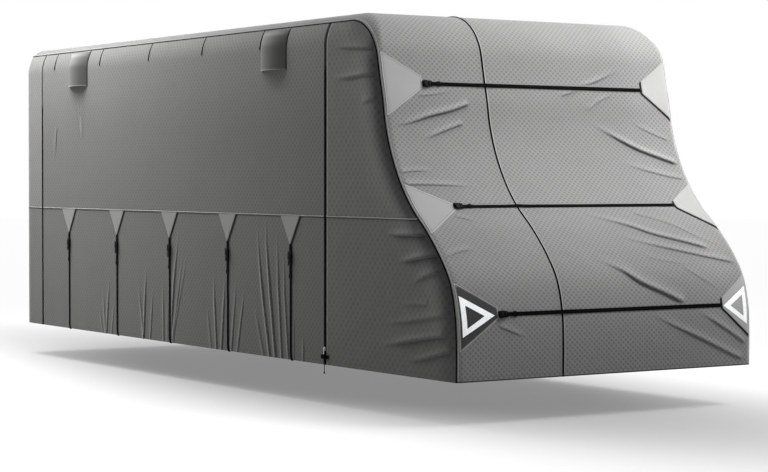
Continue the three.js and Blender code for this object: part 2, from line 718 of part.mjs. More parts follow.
// The edge cord is one length: up the right corner, round the roof's edge and down the left corner
function addEdgePiping() {
  const right = edgeStations(-1);
  const left = edgeStations(1).reverse();
  const rings = [...right, ...left].map(({ centre, toSide, out }) => ring(centre, toSide, out, EDGE_PIPING));
  add("edge_piping", barGeometry(rings), material("#1b1b1c", 0.75));
}

function addFrontSeamPiping() {
  const toRight = new THREE.Vector3(-1, 0, 0);
  const rows = [...FRONT_ROWS, ...ROOF_ROW_Y.map((y) => roofRow(y)), ...rearRoofRows(EDGE_PIPING + 2)];
  const rings = rows.map((row) => {
    const centre = stripPoint(row, FRONT_SEAM_X);
    return ring(centre, toRight, row.out, SEAM_PIPING);
  });
  add("front_seam_piping", barGeometry(rings), material("#1b1b1c", 0.75));
}

function addRearSeamPiping() {
  const backwards = new THREE.Vector3(0, 1, 0);
  const heights = [0, BAND, 1938, ...ROUNDING_Z.slice(0, -1), EDGE_TOP - 1];
  for (const [name, side] of [["right", -1], ["left", 1]]) {
    const rings = heights.map((z) => {
      const centre = new THREE.Vector3(side * (HALF - roofInset(z)), REAR_SEAM_Y, z);
      const slope = (roofInset(z + 5) - roofInset(z - 5)) / 10;
      const out = new THREE.Vector3(side, 0, slope).normalize();
      const across = backwards.clone().multiplyScalar(-side);
      return ring(centre, across, out, SEAM_PIPING);
    });
    add(`rear_seam_piping_${name}`, barGeometry(rings), material("#1b1b1c", 0.75));
  }
}

function addZip() {
  const heights = [0, BAND, 1938, ...ROUNDING_Z];
  const places = [-ZIP_WIDTH / 2, -4, 4, ZIP_WIDTH / 2];
  const teeth = 2.2;
  const grid = heights.map((z) => places.map((step) => {
    const lift = Math.abs(step) < 5 ? teeth : 0;
    return sidePoint(-1, ZIP_Y + step, z, lift);
  }));
  add("zip_tape", sideSheet(-1, grid), material("#141414", 0.8));
  addZipSlider();
}

// A box by its lowest and highest corners
function box(low, high) {
  const size = high.map((value, i) => value - low[i]);
  const geometry = new THREE.BoxGeometry(...size);
  geometry.translate(...low.map((value, i) => value + size[i] / 2));
  return geometry;
}

function joined(pieces) {
  return toGeometry(pieces.map(toSolid).reduce((whole, piece) => whole.add(piece)));
}

const SLIDER = { z: 92, length: 24, width: 15, depth: 8 };
const ZIP_TAB = { z: 38, width: 96, height: 26 };

// The metal slider with its pull, the short tape across the zip's end, and the cord that hangs from it
function addZipSlider() {
  const face = -(HALF + 3);
  const { z, length, width, depth } = SLIDER;
  const body = box([face - depth, ZIP_Y - width / 2, z], [face, ZIP_Y + width / 2, z + length]);
  const pull = box([face - depth - 3, ZIP_Y - 5, z - 22], [face - depth + 1, ZIP_Y + 5, z + length - 4]);
  add("zip_slider", joined([body, pull]), material("#b9babb", 0.35, 0.9));

  const halfTab = ZIP_TAB.width / 2;
  const tape = box([face - 2, ZIP_Y - halfTab, ZIP_TAB.z], [face, ZIP_Y + halfTab, ZIP_TAB.z + ZIP_TAB.height]);
  const tail = box([face - 7, ZIP_Y - 5, -62], [face - 1, ZIP_Y + 5, ZIP_TAB.z + ZIP_TAB.height - 4]);
  const knot = box([face - 9, ZIP_Y - 8, -66], [face, ZIP_Y + 8, -44]);
  add("zip_end_tab", joined([tape, tail, knot]), material("#1a1a1a", 0.8));
}

// A prism along Y, long enough to pass the whole front, through a shape drawn in x and z
function frontPrism(shape) {
  const depth = 2200;
  const geometry = new THREE.ExtrudeGeometry(shape, { depth, bevelEnabled: false });
  geometry.rotateX(Math.PI / 2);
  geometry.translate(0, depth - 500, 0);
  return geometry;
}

// The front cloth's face near one side, as a layer between two heights over the cloth
function frontLayer(side, from, to) {
  const grid = FRONT_ROWS.map((row) => {
    const places = stripPlaces(row, side).slice(0, side < 0 ? 5 : 6);
    if (side > 0) places.reverse();
    return places.map((x) => stripPoint(row, x));
  });
  return sheetGeometry(grid, from, to);
}

// The outline's points turning to the left, or to the right for a hole
function outline(points, hole = false) {
  const flat = points.map(({ x, z }) => new THREE.Vector2(x, z));
  return THREE.ShapeUtils.isClockWise(flat) === hole ? flat : flat.reverse();
}

function addFrontPatches() {
  const light = material("#b4b4b2", 0.85);
  const dark = material("#6c6d6b", 0.85);
  for (const [name, side, tipX] of [["right", -1, PATCH_TIP.right], ["left", 1, PATCH_TIP.left]]) {
    const layer = frontLayer(side, PATCH_LIFT, PATCH_LIFT + PATCH);
    FRONT_STRAPS.forEach(({ tip, top, bottom }, i) => {
      const corners = [
        { x: side * PATCH_EDGE, z: bottom },
        { x: tipX, z: tip[0] },
        { x: tipX, z: tip[1] },
        { x: side * PATCH_EDGE, z: top },
      ];
      const geometry = cut(layer, frontPrism(new THREE.Shape(outline(corners))));
      add(`front_patch_${name}_${i + 1}`, geometry, i === 2 ? dark : light);
    });
  }
}

function addReflectiveTriangles() {
  const finish = material("#f4f5f5", 0.35);
  const lift = PATCH_LIFT + PATCH + 0.5;
  for (const [name, side, tipX] of [["right", -1, PATCH_TIP.right], ["left", 1, PATCH_TIP.left]]) {
    const placed = (points) => points.map(({ across, z }) => ({ x: mix(tipX, side * PATCH_EDGE, across), z }));
    const shape = new THREE.Shape(outline(placed(TRIANGLE_OUTER)));
    shape.holes.push(new THREE.Path(outline(placed(TRIANGLE_INNER), true)));
    const layer = frontLayer(side, lift, lift + 1);
    add(`reflective_triangle_${name}`, cut(layer, frontPrism(shape)), finish);
  }
}

// The flat facet of the front cloth at a height: its point and outward direction
function frontFacetAt(z) {
  const i = FRONT_ROWS.findIndex((row) => row.z >= z);
  const low = FRONT_ROWS[i - 1];
  const high = FRONT_ROWS[i];
  const y = mix(low.y, high.y, (z - low.z) / (high.z - low.z));
  const out = new THREE.Vector3(0, low.z - high.z, high.y - low.y).normalize();
  return { y, z, out };
}

// A flat band's section: 'across' its width and 'out' through its thickness, with its underside at 'under'
function bandSection(centre, across, out, under, width = STRAP_WIDTH, thick = STRAP) {
  return [[-1, 0], [1, 0], [1, 1], [-1, 1]].map(([side, top]) => {
    const point = centre.clone().addScaledVector(across, (side * width) / 2);
    return point.addScaledVector(out, under + top * thick);
  });
}

// A strap is sewn to both patches' tips, and the seam's cord holds it off the cloth between them
function addFrontStraps() {
  const overCord = SEAM_PIPING + 1.2;
  const stations = [
    { x: PATCH_TIP.right + SEWN_GAP, under: STRAP_LIFT },
    { x: FRONT_SEAM_X - 12, under: overCord },
    { x: FRONT_SEAM_X + 12, under: overCord },
    { x: PATCH_TIP.left - SEWN_GAP, under: STRAP_LIFT },
  ];
  FRONT_STRAPS.forEach(({ z }, i) => {
    const row = frontFacetAt(z);
    const up = new THREE.Vector3(0, row.out.z, -row.out.y);
    const rings = stations.map(({ x, under }) => {
      const centre = new THREE.Vector3(x, row.y, row.z);
      return bandSection(centre, up, row.out, under);
    });
    add(`front_strap_${i + 1}`, barGeometry(rings), material("#151515", 0.8));

    const lift = STRAP_LIFT + STRAP + BUCKLE_GAP + 0.9;
    const { length, width, depth } = FRONT_BUCKLE;
    const start = new THREE.Vector3(PATCH_TIP.right + 2, row.y, row.z).addScaledVector(row.out, lift);
    const along = new THREE.Vector3(1, 0, 0);
    const geometry = buckleGeometry(start, along, up, row.out, length, width, depth);
    add(`front_buckle_${i + 1}`, geometry, material("#0f0f10", 0.5));
  });
}

// A side-release buckle: a wide half and a narrower half with shoulders, thinner at both ends
function buckleGeometry(start, along, across, out, length, width, depth) {
  const sections = [
    { at: 0, width: 0.82, depth: 0.5 },
    { at: 0.1, width: 1, depth: 0.9 },
    { at: 0.55, width: 1, depth: 1 },
    { at: 0.62, width: 0.8, depth: 0.9 },
    { at: 0.92, width: 0.9, depth: 0.8 },
    { at: 1, width: 0.86, depth: 0.45 },
  ];
  const rings = sections.map(({ at, width: wide, depth: thick }) => {
    const centre = start.clone().addScaledVector(along, at * length);
    return bandSection(centre, across, out, 0, wide * width, thick * depth);
  });
  return barGeometry(rings);
}

function addSidePatches(name, side) {
  const { width, depth, tip, below } = SIDE_PATCH;
  const top = BAND - below;
  SIDE_STRAP_Y.forEach((y, i) => {
    const corners = [
      new THREE.Vector2(y - width / 2, top),
      new THREE.Vector2(y + width / 2, top),
      new THREE.Vector2(y + tip / 2, top - depth),
      new THREE.Vector2(y - tip / 2, top - depth),
    ];
    const geometry = new THREE.ExtrudeGeometry(new THREE.Shape(corners), { depth: PATCH, bevelEnabled: false });
    geometry.rotateX(Math.PI / 2);
    geometry.rotateZ(Math.PI / 2);
    geometry.translate(side < 0 ? -HALF - PATCH_LIFT - PATCH : HALF + PATCH_LIFT, 0, 0);
    add(`side_patch_${name}_${i + 1}`, geometry, material("#9a9b98", 0.85));
  });
}

// A side strap hangs from its patch's tip, runs down over the skirt, and turns in and up under the hem
function addSideStraps(name, side) {
  const under = 5;
  const inside = CLOTH + 2.5;
  const top = BAND - SIDE_PATCH.below - SIDE_PATCH.depth - SEWN_GAP;
  const path = [
    { x: HALF + STRAP_LIFT, z: top },
    { x: HALF + STRAP_LIFT, z: 0 },
    { x: HALF + STRAP_LIFT - 0.6, z: -under },
    { x: HALF - inside + 1.2, z: -under },
    { x: HALF - inside, z: 0 },
    { x: HALF - inside, z: 52 },
  ];
  const across = new THREE.Vector3(0, side, 0);
  SIDE_STRAP_Y.forEach((y, i) => {
    const rings = path.map((point, k) => {
      const before = path[Math.max(k - 1, 0)];
      const after = path[Math.min(k + 1, path.length - 1)];
      const along = new THREE.Vector3(side * (after.x - before.x), 0, after.z - before.z).normalize();
      const out = new THREE.Vector3(-along.z * side, 0, along.x * side);
      return bandSection(new THREE.Vector3(side * point.x, y, point.z), across, out, 0);
    });
    add(`side_strap_${name}_${i + 1}`, barGeometry(rings), material("#151515", 0.8));
  });
}

function addSideBuckles() {
  const { top, length, width, depth } = SIDE_BUCKLE;
  const face = HALF + STRAP_LIFT + STRAP + BUCKLE_GAP;
  const down = new THREE.Vector3(0, 0, -1);
  const across = new THREE.Vector3(0, -1, 0);
  const out = new THREE.Vector3(-1, 0, 0);
  SIDE_STRAP_Y.forEach((y, i) => {
    const start = new THREE.Vector3(-face, y, top);
    const geometry = buckleGeometry(start, down, across, out, length, width, depth);
    add(`side_buckle_right_${i + 1}`, geometry, material("#0f0f10", 0.5));
  });
}

// A hood is sewn down at its top and sides, and bows out towards its open lower edge
function addVentFlaps(name, side) {
  const { width, top, bottom, stand } = VENT_FLAP;
  const heights = [bottom, 2005, 2072, 2122, 2162, top];
  const clear = 2.4;
  VENT_FLAP_Y.forEach((y, i) => {
    const grid = heights.map((z) => spaced(-1, 1, 8).map((place) => {
      const bow = Math.cos((place * Math.PI) / 2) ** 0.7;
      const open = ease((top - z) / (top - bottom) + 0.12);
      const lift = clear + PATCH + (stand * open + roofInset(z) * 0.75) * bow;
      const off = z === top ? clear + PATCH : lift;
      return sidePoint(side, y + (place * width) / 2, z, off);
    }));
    const ordered = side < 0 ? grid.map((row) => [...row].reverse()) : grid;
    add(`vent_flap_${name}_${i + 1}`, sheetGeometry(ordered, -PATCH, 0), material("#7c7c7a"));
  });
}

addStrip();
addFrontSides();
addRightSide();
addLeftSide();
addRear();
addEdgePiping();
addFrontSeamPiping();
addRearSeamPiping();
addZip();
addFrontPatches();
addReflectiveTriangles();
addFrontStraps();
for (const [name, side] of [["right", -1], ["left", 1]]) {
  addSidePatches(name, side);
  addSideStraps(name, side);
  addVentFlaps(name, side);
}
addSideBuckles();

cover.position.set(0, -LENGTH / 2, -(HEIGHT + ROOF_CROWN - CLOTH));
export default cover;
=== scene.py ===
"""A fitted motorhome cover of grey non-woven cloth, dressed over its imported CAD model.

Sizes are in millimetres and written as in the part's source: x across, y from the front hem, z from the
plane of the hem. Each cloth is one fine sheet that follows the solid's shape, with the creases of the
photograph laid over it. Shapes are moved to the part's frame, in metres, as they are made.
"""
import math

import bmesh
import bpy
import numpy as np
from mathutils import Matrix, Vector


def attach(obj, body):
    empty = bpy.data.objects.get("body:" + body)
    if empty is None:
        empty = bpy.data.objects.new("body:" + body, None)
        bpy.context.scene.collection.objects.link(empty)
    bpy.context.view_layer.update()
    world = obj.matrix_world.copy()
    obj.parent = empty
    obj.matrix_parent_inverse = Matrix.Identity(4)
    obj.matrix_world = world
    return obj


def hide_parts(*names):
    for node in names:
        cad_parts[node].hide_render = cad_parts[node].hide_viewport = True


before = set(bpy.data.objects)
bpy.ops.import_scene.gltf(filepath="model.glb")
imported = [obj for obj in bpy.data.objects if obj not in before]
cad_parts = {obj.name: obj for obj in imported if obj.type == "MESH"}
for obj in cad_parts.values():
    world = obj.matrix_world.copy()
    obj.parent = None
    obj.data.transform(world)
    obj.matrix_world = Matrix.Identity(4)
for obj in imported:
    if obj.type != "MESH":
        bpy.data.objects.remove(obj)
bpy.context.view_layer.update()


def table(columns, *rows):
    """Rows by the names of their columns. A short row leaves its last columns out."""
    return [dict(zip(columns.split(), row)) for row in rows]


# Driving sizes
WIDTH, LENGTH, HEIGHT = 2350, 6340, 2270
HALF = WIDTH / 2
SIDES = ((-1, "right"), (1, "left"))
BAND = 964  # height of the seam between the upper cloth and the skirt
ZIP_Y = 1481
REAR_SEAM_Y = 5911
FRONT_SEAM_X = -377
REAR_CORNER = 180
CLOTH, PATCH_CLOTH, FILM = 2, 1.5, 0.8  # thickness of each
EDGE_PIPING = 6
EDGE_CORD = {-1: 4.6, 1: 3.6}  # radius that shows of the edge cord on each side
SEAM_PIPING = 6
REAR_PIPING = 8.5
EDGE_TUCK = 3  # from the edge cord's middle to the cloths' edges, which are sewn in under it
SEAM_TUCK = 2.5
ZIP_WIDTH = 26
ZIP_TEETH = {"height": 2, "half_width": 3.4}

# The side view of the front, from the hem up to where the roof's front curve starts
FRONT_PROFILE = [
    (0, 0), (0, 230), (13, 400), (66, 590), (168, 741), (310, 892),
    (485, 1046), (612, 1203), (716, 1395), (770, 1556), (801, 1716), (834, 1850),
]
ROOF_CURVE = {"radius": 345, "y": 1202, "from": 12, "to": 90}

# The rounding between the strip over the top and the sides, as in the part
EDGE_FRONT = {"inset": 5, "drop": 12, "top": 46, "side": 170}
EDGE_ROOF = {"inset": 42, "drop": 50, "top": 100, "side": 150}
CORNER_DROP = {-1: 18, 1: 0}  # how much deeper the cord lies halfway through its turn onto the roof

# Patches, straps, hoods
SIDE_STRAP_Y = [1915, 2777, 3655, 4528, 5394]
SIDE_PATCH = {"width": 268, "depth": 188, "tip": 30, "below": 3, "turned_rim": 12, "rim_lift": 0.9}
FRONT_STRAPS = table(
    "z tip top bottom",
    (1808, (1783, 1857), 2005, 1604),
    (1036, (1015, 1056), 1177, 879),
    (396, (374, 436), 590, 184),
)
FRONT_PATCH = {"gap": 0.6, "turned_rim": 14}
PATCH_TIP = {-1: -866, 1: 918}
PATCH_EDGE = HALF - EDGE_FRONT["inset"] - EDGE_PIPING - 12
TRIANGLE_OUTER = [(0.95, 514), (0.09, 392), (0.93, 268)]
TRIANGLE_INNER = [(0.82, 458), (0.35, 391), (0.81, 320)]
# How the sides swell behind the front corners' cords
CORNER_FULLNESS = {-1: {"lift": 25, "reach": 80}, 1: {"lift": 9, "reach": 80}}
VENT_FLAP_Y = [2146, 5227]
VENT_FLAP = {"width": 330, "top": 2205, "bottom": 1938}
# How far a hood bows out, its share of that at the top, and over what height it opens and leaves its seam
HOOD_BOW = {"stand": 48, "top_share": 0.3, "opens_over": 120, "rises_over": 40}
DART_Y = [2330, 3163, 4000, 4837, 5675]
DART = {"low": 2085, "radius": 5.2, "radius_by_hood": 3.6}
STRAP_WIDTH = 25
STRAP = 1.6  # thickness of the webbing
STRAP_LEAN = {"forward": 14, "under": 34}  # how far a side strap leans forward, and under what height
# Buckles, with how far along the strap and out the slide and the doubled webbing are from the start
SIDE_BUCKLE = {
    "top": 720, "length": 90, "width": 46, "depth": 11, "slide": 150, "slide_out": -0.6,
    "doubled": (-50, 180), "doubled_out": 1.4, "stations": 20, "webbing": STRAP_WIDTH + 4,
}
FRONT_BUCKLE = {
    "length": 66, "width": 42, "depth": 12, "slide": 110, "slide_out": -0.3,
    "doubled": (62, 148), "doubled_out": 1.9, "stations": 16, "webbing": STRAP_WIDTH,
}
ZIP_TAB = {"z": 38, "width": 96, "height": 26}
WELT = 3.2  # radius of the raised band seam
# How far each small part, or its middle, stands off the face of the cloth
STAND = {
    "side_patch": 2.2, "triangle": 3.6, "hood": 3.9, "front_strap": 3.8, "side_strap": 3.7,
    "side_buckle": 4.4, "front_buckle": 5.3, "zip": 1.2, "slider": 2, "zip_end": 4.4,
    "dart": 0.6, "welt": 0.8,
}

# Folds of the door side's skirt as (y, z) lines from their top down to the hem, and how far each stands out
RIGHT_SKIRT_FOLDS = table(
    "line lift",
    ([(1753, 176), (1753, 0)], 3),
    ([(1877, 361), (1877, 0)], 3),
    ([(2008, 784), (1995, 429), (1944, 0)], 5),
    ([(2100, 903), (2079, 499), (2032, 0)], 6),
    ([(2248, 1009), (2235, 758), (2185, 420), (2116, 0)], 9),
    ([(2371, 930), (2330, 639), (2276, 361), (2191, 0)], 8),
    ([(2413, 361), (2274, 0)], 4),
    ([(2528, 487), (2643, 0)], 4),
    ([(2650, 537), (2727, 0)], 4),
    ([(2812, 545), (2870, 0)], 6),
    ([(2979, 567), (2969, 326), (2940, 0)], 6),
    ([(3087, 334), (3021, 0)], 3),
    ([(3359, 748), (3436, 506), (3594, 60)], 3),
    ([(3436, 703), (3499, 460), (3610, 40)], 4),
    ([(3502, 876), (3585, 464), (3640, 60)], 7),
    ([(3688, 349), (3689, 0)], 3),
    ([(3760, 494), (3753, 0)], 4),
    ([(3922, 405), (3972, 0)], 4),
    ([(4033, 573), (4078, 0)], 7),
    ([(4178, 477), (4083, 20)], 4),
    ([(4573, 284), (4629, 0)], 3),
    ([(4660, 458), (4719, 0)], 6),
    ([(4784, 375), (4733, 0)], 4),
    ([(4848, 215), (4780, 0)], 3),
)
LEFT_SKIRT_FOLDS = table(
    "line lift",
    ([(2300, 700), (2360, 0)], 7),
    ([(3180, 560), (3120, 0)], 6),
    ([(4080, 640), (4150, 0)], 7),
    ([(4900, 420), (4860, 0)], 5),
)

# Creases one by one: the line, its width and how far it lifts the cloth. On the front a line is in x and z,
# on the sides in y and z. A crease starts sharp at its end of lower x or y, unless it is from_high_end.
FRONT_CREASES = table(
    "line width lift from_high_end",
    ([(-1139, 1537), (-1016, 1554), (-835, 1605), (-676, 1639), (-514, 1689)], 18, 12, True),
    ([(-934, 1446), (-836, 1478), (-719, 1518), (-586, 1560)], 17, 8, True),
    ([(-1172, 1245), (-1004, 1258), (-880, 1252)], 11, 4),
    ([(-1166, 1174), (-906, 1171), (-603, 1158)], 11, 5),
    ([(-909, 1729), (-754, 1746), (-640, 1773)], 10, 3),
    ([(-897, 976), (-766, 950)], 10, 2.4),
    ([(-1130, 738), (-1048, 764), (-882, 791)], 11, 4),
    ([(-868, 328), (-765, 289), (-647, 248)], 10, 4),
    ([(223, 1748), (348, 1791), (556, 1863), (778, 1950)], 16, 7),
    ([(435, 1659), (556, 1729), (705, 1786)], 11, 4),
    ([(769, 1605), (921, 1533), (1106, 1467)], 13, 2.6, True),
    ([(436, 1580), (548, 1528), (784, 1417), (915, 1371), (1132, 1304)], 16, 11, True),
    ([(602, 1329), (731, 1289), (982, 1230), (1140, 1205)], 14, 4, True),
    ([(79, 992), (240, 953), (412, 907), (555, 857), (819, 794), (975, 753)], 15, 8, True),
    ([(216, 859), (423, 806), (710, 745), (956, 696), (1140, 660)], 16, 6, True),
    ([(504, 995), (768, 916), (948, 824), (1130, 757)], 18, 2.4),
    ([(-34, 715), (150, 638), (279, 560), (476, 480), (627, 412)], 24, 12, True),
    ([(655, 651), (816, 559), (965, 466)], 13, 2),
    ([(290, 373), (484, 290), (733, 192), (974, 91), (1114, 33)], 15, 8, True),
    ([(700, 368), (833, 306), (1035, 195), (1123, 139)], 15, 7, True),
    ([(392, 719), (586, 678), (793, 655)], 14, 1.5),
)
RIGHT_SIDE_CREASES = table(
    "line width lift",
    ([(306, 869), (590, 865), (764, 867)], 18, 17),
    ([(176, 750), (324, 736), (475, 715), (640, 691)], 18, 17),
    ([(144, 654), (302, 624), (474, 569)], 20, 9),
    ([(280, 450), (606, 434)], 18, 4),
    ([(50, 403), (403, 353), (813, 298)], 20, 7),
    ([(60, 277), (269, 252), (539, 210), (847, 158)], 20, 14),
    ([(29, 190), (301, 129), (539, 81)], 18, 10),
    ([(880, 2025), (1183, 2043), (1400, 2057)], 26, 8),
    ([(857, 1862), (1018, 1862), (1231, 1851), (1400, 1845)], 18, 10),
    ([(845, 1712), (948, 1697), (1041, 1687)], 22, 6),
    ([(5250, 1855), (5178, 1535)], 12, 5),
    ([(5185, 1853), (5159, 1551)], 11, 5),
    ([(5720, 1560), (5692, 1372)], 11, 4),
    ([(5632, 1615), (5663, 1372)], 11, 4),
)
LEFT_SIDE_CREASES = table(
    "line width lift",
    ([(320, 850), (720, 800)], 18, 9),
    ([(200, 700), (600, 610)], 20, 9),
    ([(60, 330), (700, 220)], 20, 11),
    ([(870, 1780), (1200, 1730)], 20, 7),
)

# A crease and a fold across themselves, in millimetres or, for a crease's slopes and groove, in its widths.
# The slopes over and under the crest are half bells. Groove, and the painted light and dark, are bells, each
# with its height, middle and width. sunk is the groove's share of the lift, and lit_at the lift at which the
# painted light and dark are full. Cells nearer than pinch are drawn to the crest, by the share drawn.
CREASE = {
    "over": 1.9, "under": 0.25, "groove": [(1, -0.4, 0.25), (0.5, -0.8, 0.9)], "sunk": 0.4,
    "light": [(0.34, 17, 15)], "dark": [(0.36, -7, 11), (0.12, -24, 18)], "lit_at": 10,
    "pinch": 44, "drawn": 0.92,
}
FOLD = {
    "over": 18, "under": 3.4, "groove": [(1, -6, 3.6), (0.4, -12, 14)], "sunk": 0.35,
    "light": [(1.3, 10, 10)], "dark": [(0.45, -7, 6)], "lit_at": 8,
    "pinch": 30, "drawn": 0.8,
}

# What the photograph's light does along the cloths, painted as shares of their colour
TONE = {
    "skirt": 0.88, "side_by_front_cord": 0.5, "side_middle": 0.93, "side_top": 1.28, "rear_upper": 1.5,
    "front_hem": 0.88, "front_far_edge": 1.25, "roof_by_cord": 0.5, "hood_back": 1.2, "hood_front": 0.45,
}

# The camera of the photograph, in the part's frame and in metres
CAMERA = {"place": (-8.367, -13.345, -1.050), "yaw": 33.27, "pitch": 1.60, "roll": 0.076, "lens": 98.9}
FLOOR_BELOW_HEM = 262

# Studio lights, in the part's frame, metres and watts
LIGHTS = table(
    "name place aim size power spread",
    ("front", (3, -5, 2.2), (0.6, -2.4, -0.2), (3.4, 3.4), 60, 80),
    ("front_high", (2.5, -4.5, 4), (0.6, -1.6, -0.2), (3.4, 3.4), 104, 60),
    ("far_high", (5, -3, 5), (0.8, -1.8, 0), (3.4, 3.4), 40, 60),
    ("roof_edge", (-1.9, 1, 1.6), (-1.2, 1, -0.2), (5, 0.4), 58, 160),
    ("rear_high", (-2, 3, 2), (-1.2, 2.6, -0.2), (3, 3), 200, 120),
    ("rear", (-2.5, 6.5, 1.5), (-1.2, 2.5, -0.6), (3, 3), 14, 120),
)
WALL = {"behind": 1.0, "away": 0.2}
# The floor's glow is painted light: dim under the cover as a painted shadow, and bright away from it
FLOOR_GLOW = {"under": 0.25, "away": 0.88, "from": 0.85, "to": 2.6}


def mix(a, b, share):
    return a + (b - a) * share


def ease(share):
    held = np.clip(share, 0, 1)
    return held * held * (3 - 2 * held)


def bell(value, middle, width):
    """1 at the middle and fading to 0 some widths from it."""
    return np.exp(-(((value - middle) / width) ** 2))


def clear_of(distance, held=12, over=30):
    """0 where a seam, a strap or the zip holds the cloth flat, and 1 farther from it."""
    return ease((distance - held) / over)


def bells(value, rows):
    return sum(height * bell(value, middle, width) for height, middle, width in rows)


def height_across(form, off):
    """How high a crease or fold of lift 1 stands at a distance across it."""
    slope = np.where(off > 0, bell(off, 0, form["over"]), bell(off, 0, form["under"]))
    return slope - form["sunk"] * bells(off, form["groove"])


def light_across(form, lift, off):
    """The painted light and shade of a crease or fold at a distance across it, as how much lighter or darker
    than the cloth it is.
    """
    return lift / form["lit_at"] * (bells(off, form["light"]) - bells(off, form["dark"]))


def pinched(form, off, strength):
    """The distance across a crease or fold, drawn in towards its crest."""
    return off * mix(1, np.clip(np.abs(off) / form["pinch"], 0, 1), form["drawn"] * strength)


def smooth_line(corners, steps):
    """Points along a curve through the corners, evenly many between each two."""
    corners = [np.array(corner, float) for corner in corners]
    first = 2 * corners[0] - corners[1]
    last = 2 * corners[-1] - corners[-2]
    rounded = [first, *corners, last]
    share = np.linspace(0, 1, steps, endpoint=False)[:, None]
    pieces = []
    for before, start, end, after in zip(rounded, rounded[1:], rounded[2:], rounded[3:]):
        near, middle, far = (
            math.sqrt(np.linalg.norm(b - a)) for a, b in ((before, start), (start, end), (end, after))
        )
        leave = (start - before) / near - (end - before) / (near + middle) + (end - start) / middle
        arrive = (end - start) / middle - (after - start) / (middle + far) + (after - end) / far
        pieces.append(
            start * (2 * share**3 - 3 * share**2 + 1)
            + end * (3 * share**2 - 2 * share**3)
            + leave * middle * (share**3 - 2 * share**2 + share)
            + arrive * middle * (share**3 - share**2)
        )
    return np.vstack([*pieces, corners[-1]])


for crease in FRONT_CREASES + RIGHT_SIDE_CREASES + LEFT_SIDE_CREASES:
    crease["line"] = smooth_line(crease["line"], 4)


def side_view():
    """The line of the strip up the front and over the roof, as points (y, z)."""
    rise = smooth_line(FRONT_PROFILE, 40)
    turn = np.radians(np.arange(ROOF_CURVE["from"], ROOF_CURVE["to"] + 1))
    radius = ROOF_CURVE["radius"]
    bend = np.column_stack([
        ROOF_CURVE["y"] - radius * np.cos(turn),
        HEIGHT - radius + radius * np.sin(turn),
    ])
    roof_y = np.array([*range(ROOF_CURVE["y"] + 10, 1700, 10), LENGTH])
    roof = np.column_stack([roof_y, np.full(len(roof_y), HEIGHT)])
    return np.vstack([rise, bend, roof])


PROFILE = side_view()
STEPS = np.hypot(*np.diff(PROFILE, axis=0).T)
PROFILE_LENGTH = np.concatenate([[0], np.cumsum(STEPS)])
CURVE_END = float(np.interp(ROOF_CURVE["y"], PROFILE[:, 0], PROFILE_LENGTH))
CURVE_LENGTH = math.radians(ROOF_CURVE["to"] - ROOF_CURVE["from"]) * ROOF_CURVE["radius"]
ROOF_END = LENGTH - EDGE_ROOF["inset"]
CORD_TOP = HEIGHT - EDGE_ROOF["drop"]
UPPER_TOP = CORD_TOP - EDGE_TUCK
ROOF_HALF = HALF - EDGE_ROOF["inset"]
ROOF_CORNER = REAR_CORNER - EDGE_ROOF["inset"]
CORNER_LENGTH = CURVE_END + ROOF_END - ROOF_CORNER - ROOF_CURVE["y"]  # where the roof's rear corners start


def profile_at(length):
    """The side view's point (y, z) and outward direction (y, z) at a length along it."""
    y = np.interp(length, PROFILE_LENGTH, PROFILE[:, 0])
    z = np.interp(length, PROFILE_LENGTH, PROFILE[:, 1])
    step = 10
    ahead, behind = length + step, np.maximum(length - step, 0)
    rise_y, rise_z = (
        np.interp(ahead, PROFILE_LENGTH, line) - np.interp(behind, PROFILE_LENGTH, line) for line in PROFILE.T
    )
    size = np.hypot(rise_y, rise_z)
    return y, z, -rise_z / size, rise_y / size


def edge_at(length, side):
    """The edge rounding at a length along the side view, as its inset, drop, top and side."""
    turn = np.clip((length - CURVE_END + CURVE_LENGTH) / CURVE_LENGTH, 0, 1)
    edge = {key: mix(EDGE_FRONT[key], EDGE_ROOF[key], ease(turn)) for key in EDGE_FRONT}
    edge["drop"] = edge["drop"] + CORNER_DROP[side] * np.sin(math.pi * turn)
    return edge


def edge_point(length, side, extra=0.0):
    """Where a side's edge cord lies at a length, in the side view."""
    y, z, out_y, out_z = profile_at(length)
    depth = edge_at(length, side)["drop"] + extra
    return y - out_y * depth, z - out_z * depth


def length_at_height(side, z, extra=0.0):
    lengths = np.linspace(0, CURVE_END, 2000)
    return float(np.interp(z, edge_point(lengths, side, extra)[1], lengths))


def beside(line, a, b):
    """Each point's distance from a line of straight pieces, more on its upper side, how far along the line it
    lies, from 0 to 1, and the upward direction across the line there."""
    line = line if line[-1, 0] > line[0, 0] else line[::-1]
    sizes = np.hypot(*np.diff(line, axis=0).T)
    done = np.concatenate([[0], np.cumsum(sizes)])
    best = np.full(a.shape, np.inf)
    off, along, up_a, up_b = (np.zeros_like(a) for _ in range(4))
    for (a0, b0), (a1, b1), size, start in zip(line, line[1:], sizes, done):
        dir_a, dir_b = (a1 - a0) / size, (b1 - b0) / size
        reach = (a - a0) * dir_a + (b - b0) * dir_b
        across = (b - b0) * dir_a - (a - a0) * dir_b
        held = np.clip(reach, 0, size)
        distance = np.hypot(across, reach - held)
        nearer = distance < best
        best = np.where(nearer, distance, best)
        off = np.where(nearer, np.where(across < 0, -distance, distance), off)
        along = np.where(nearer, (start + held) / done[-1], along)
        up_a, up_b = np.where(nearer, -dir_b, up_a), np.where(nearer, dir_a, up_b)
    return off, along, up_a, up_b


def reached(creases, a, b):
    """Each crease with the points that it reaches, how far they lie over it, its strength there and the
    upward direction across it."""
    for crease in creases:
        low, high = crease["line"].min(axis=0), crease["line"].max(axis=0)
        room = 5 * crease["width"]
        inside = (a > low[0] - room) & (a < high[0] + room) & (b > low[1] - room) & (b < high[1] + room)
        part = np.flatnonzero(inside)
        if len(part):
            over, along, up_a, up_b = beside(crease["line"], a[part], b[part])
            strength = taper(1 - along) if crease.get("from_high_end") else taper(along)
            yield crease, part, over, strength, up_a, up_b


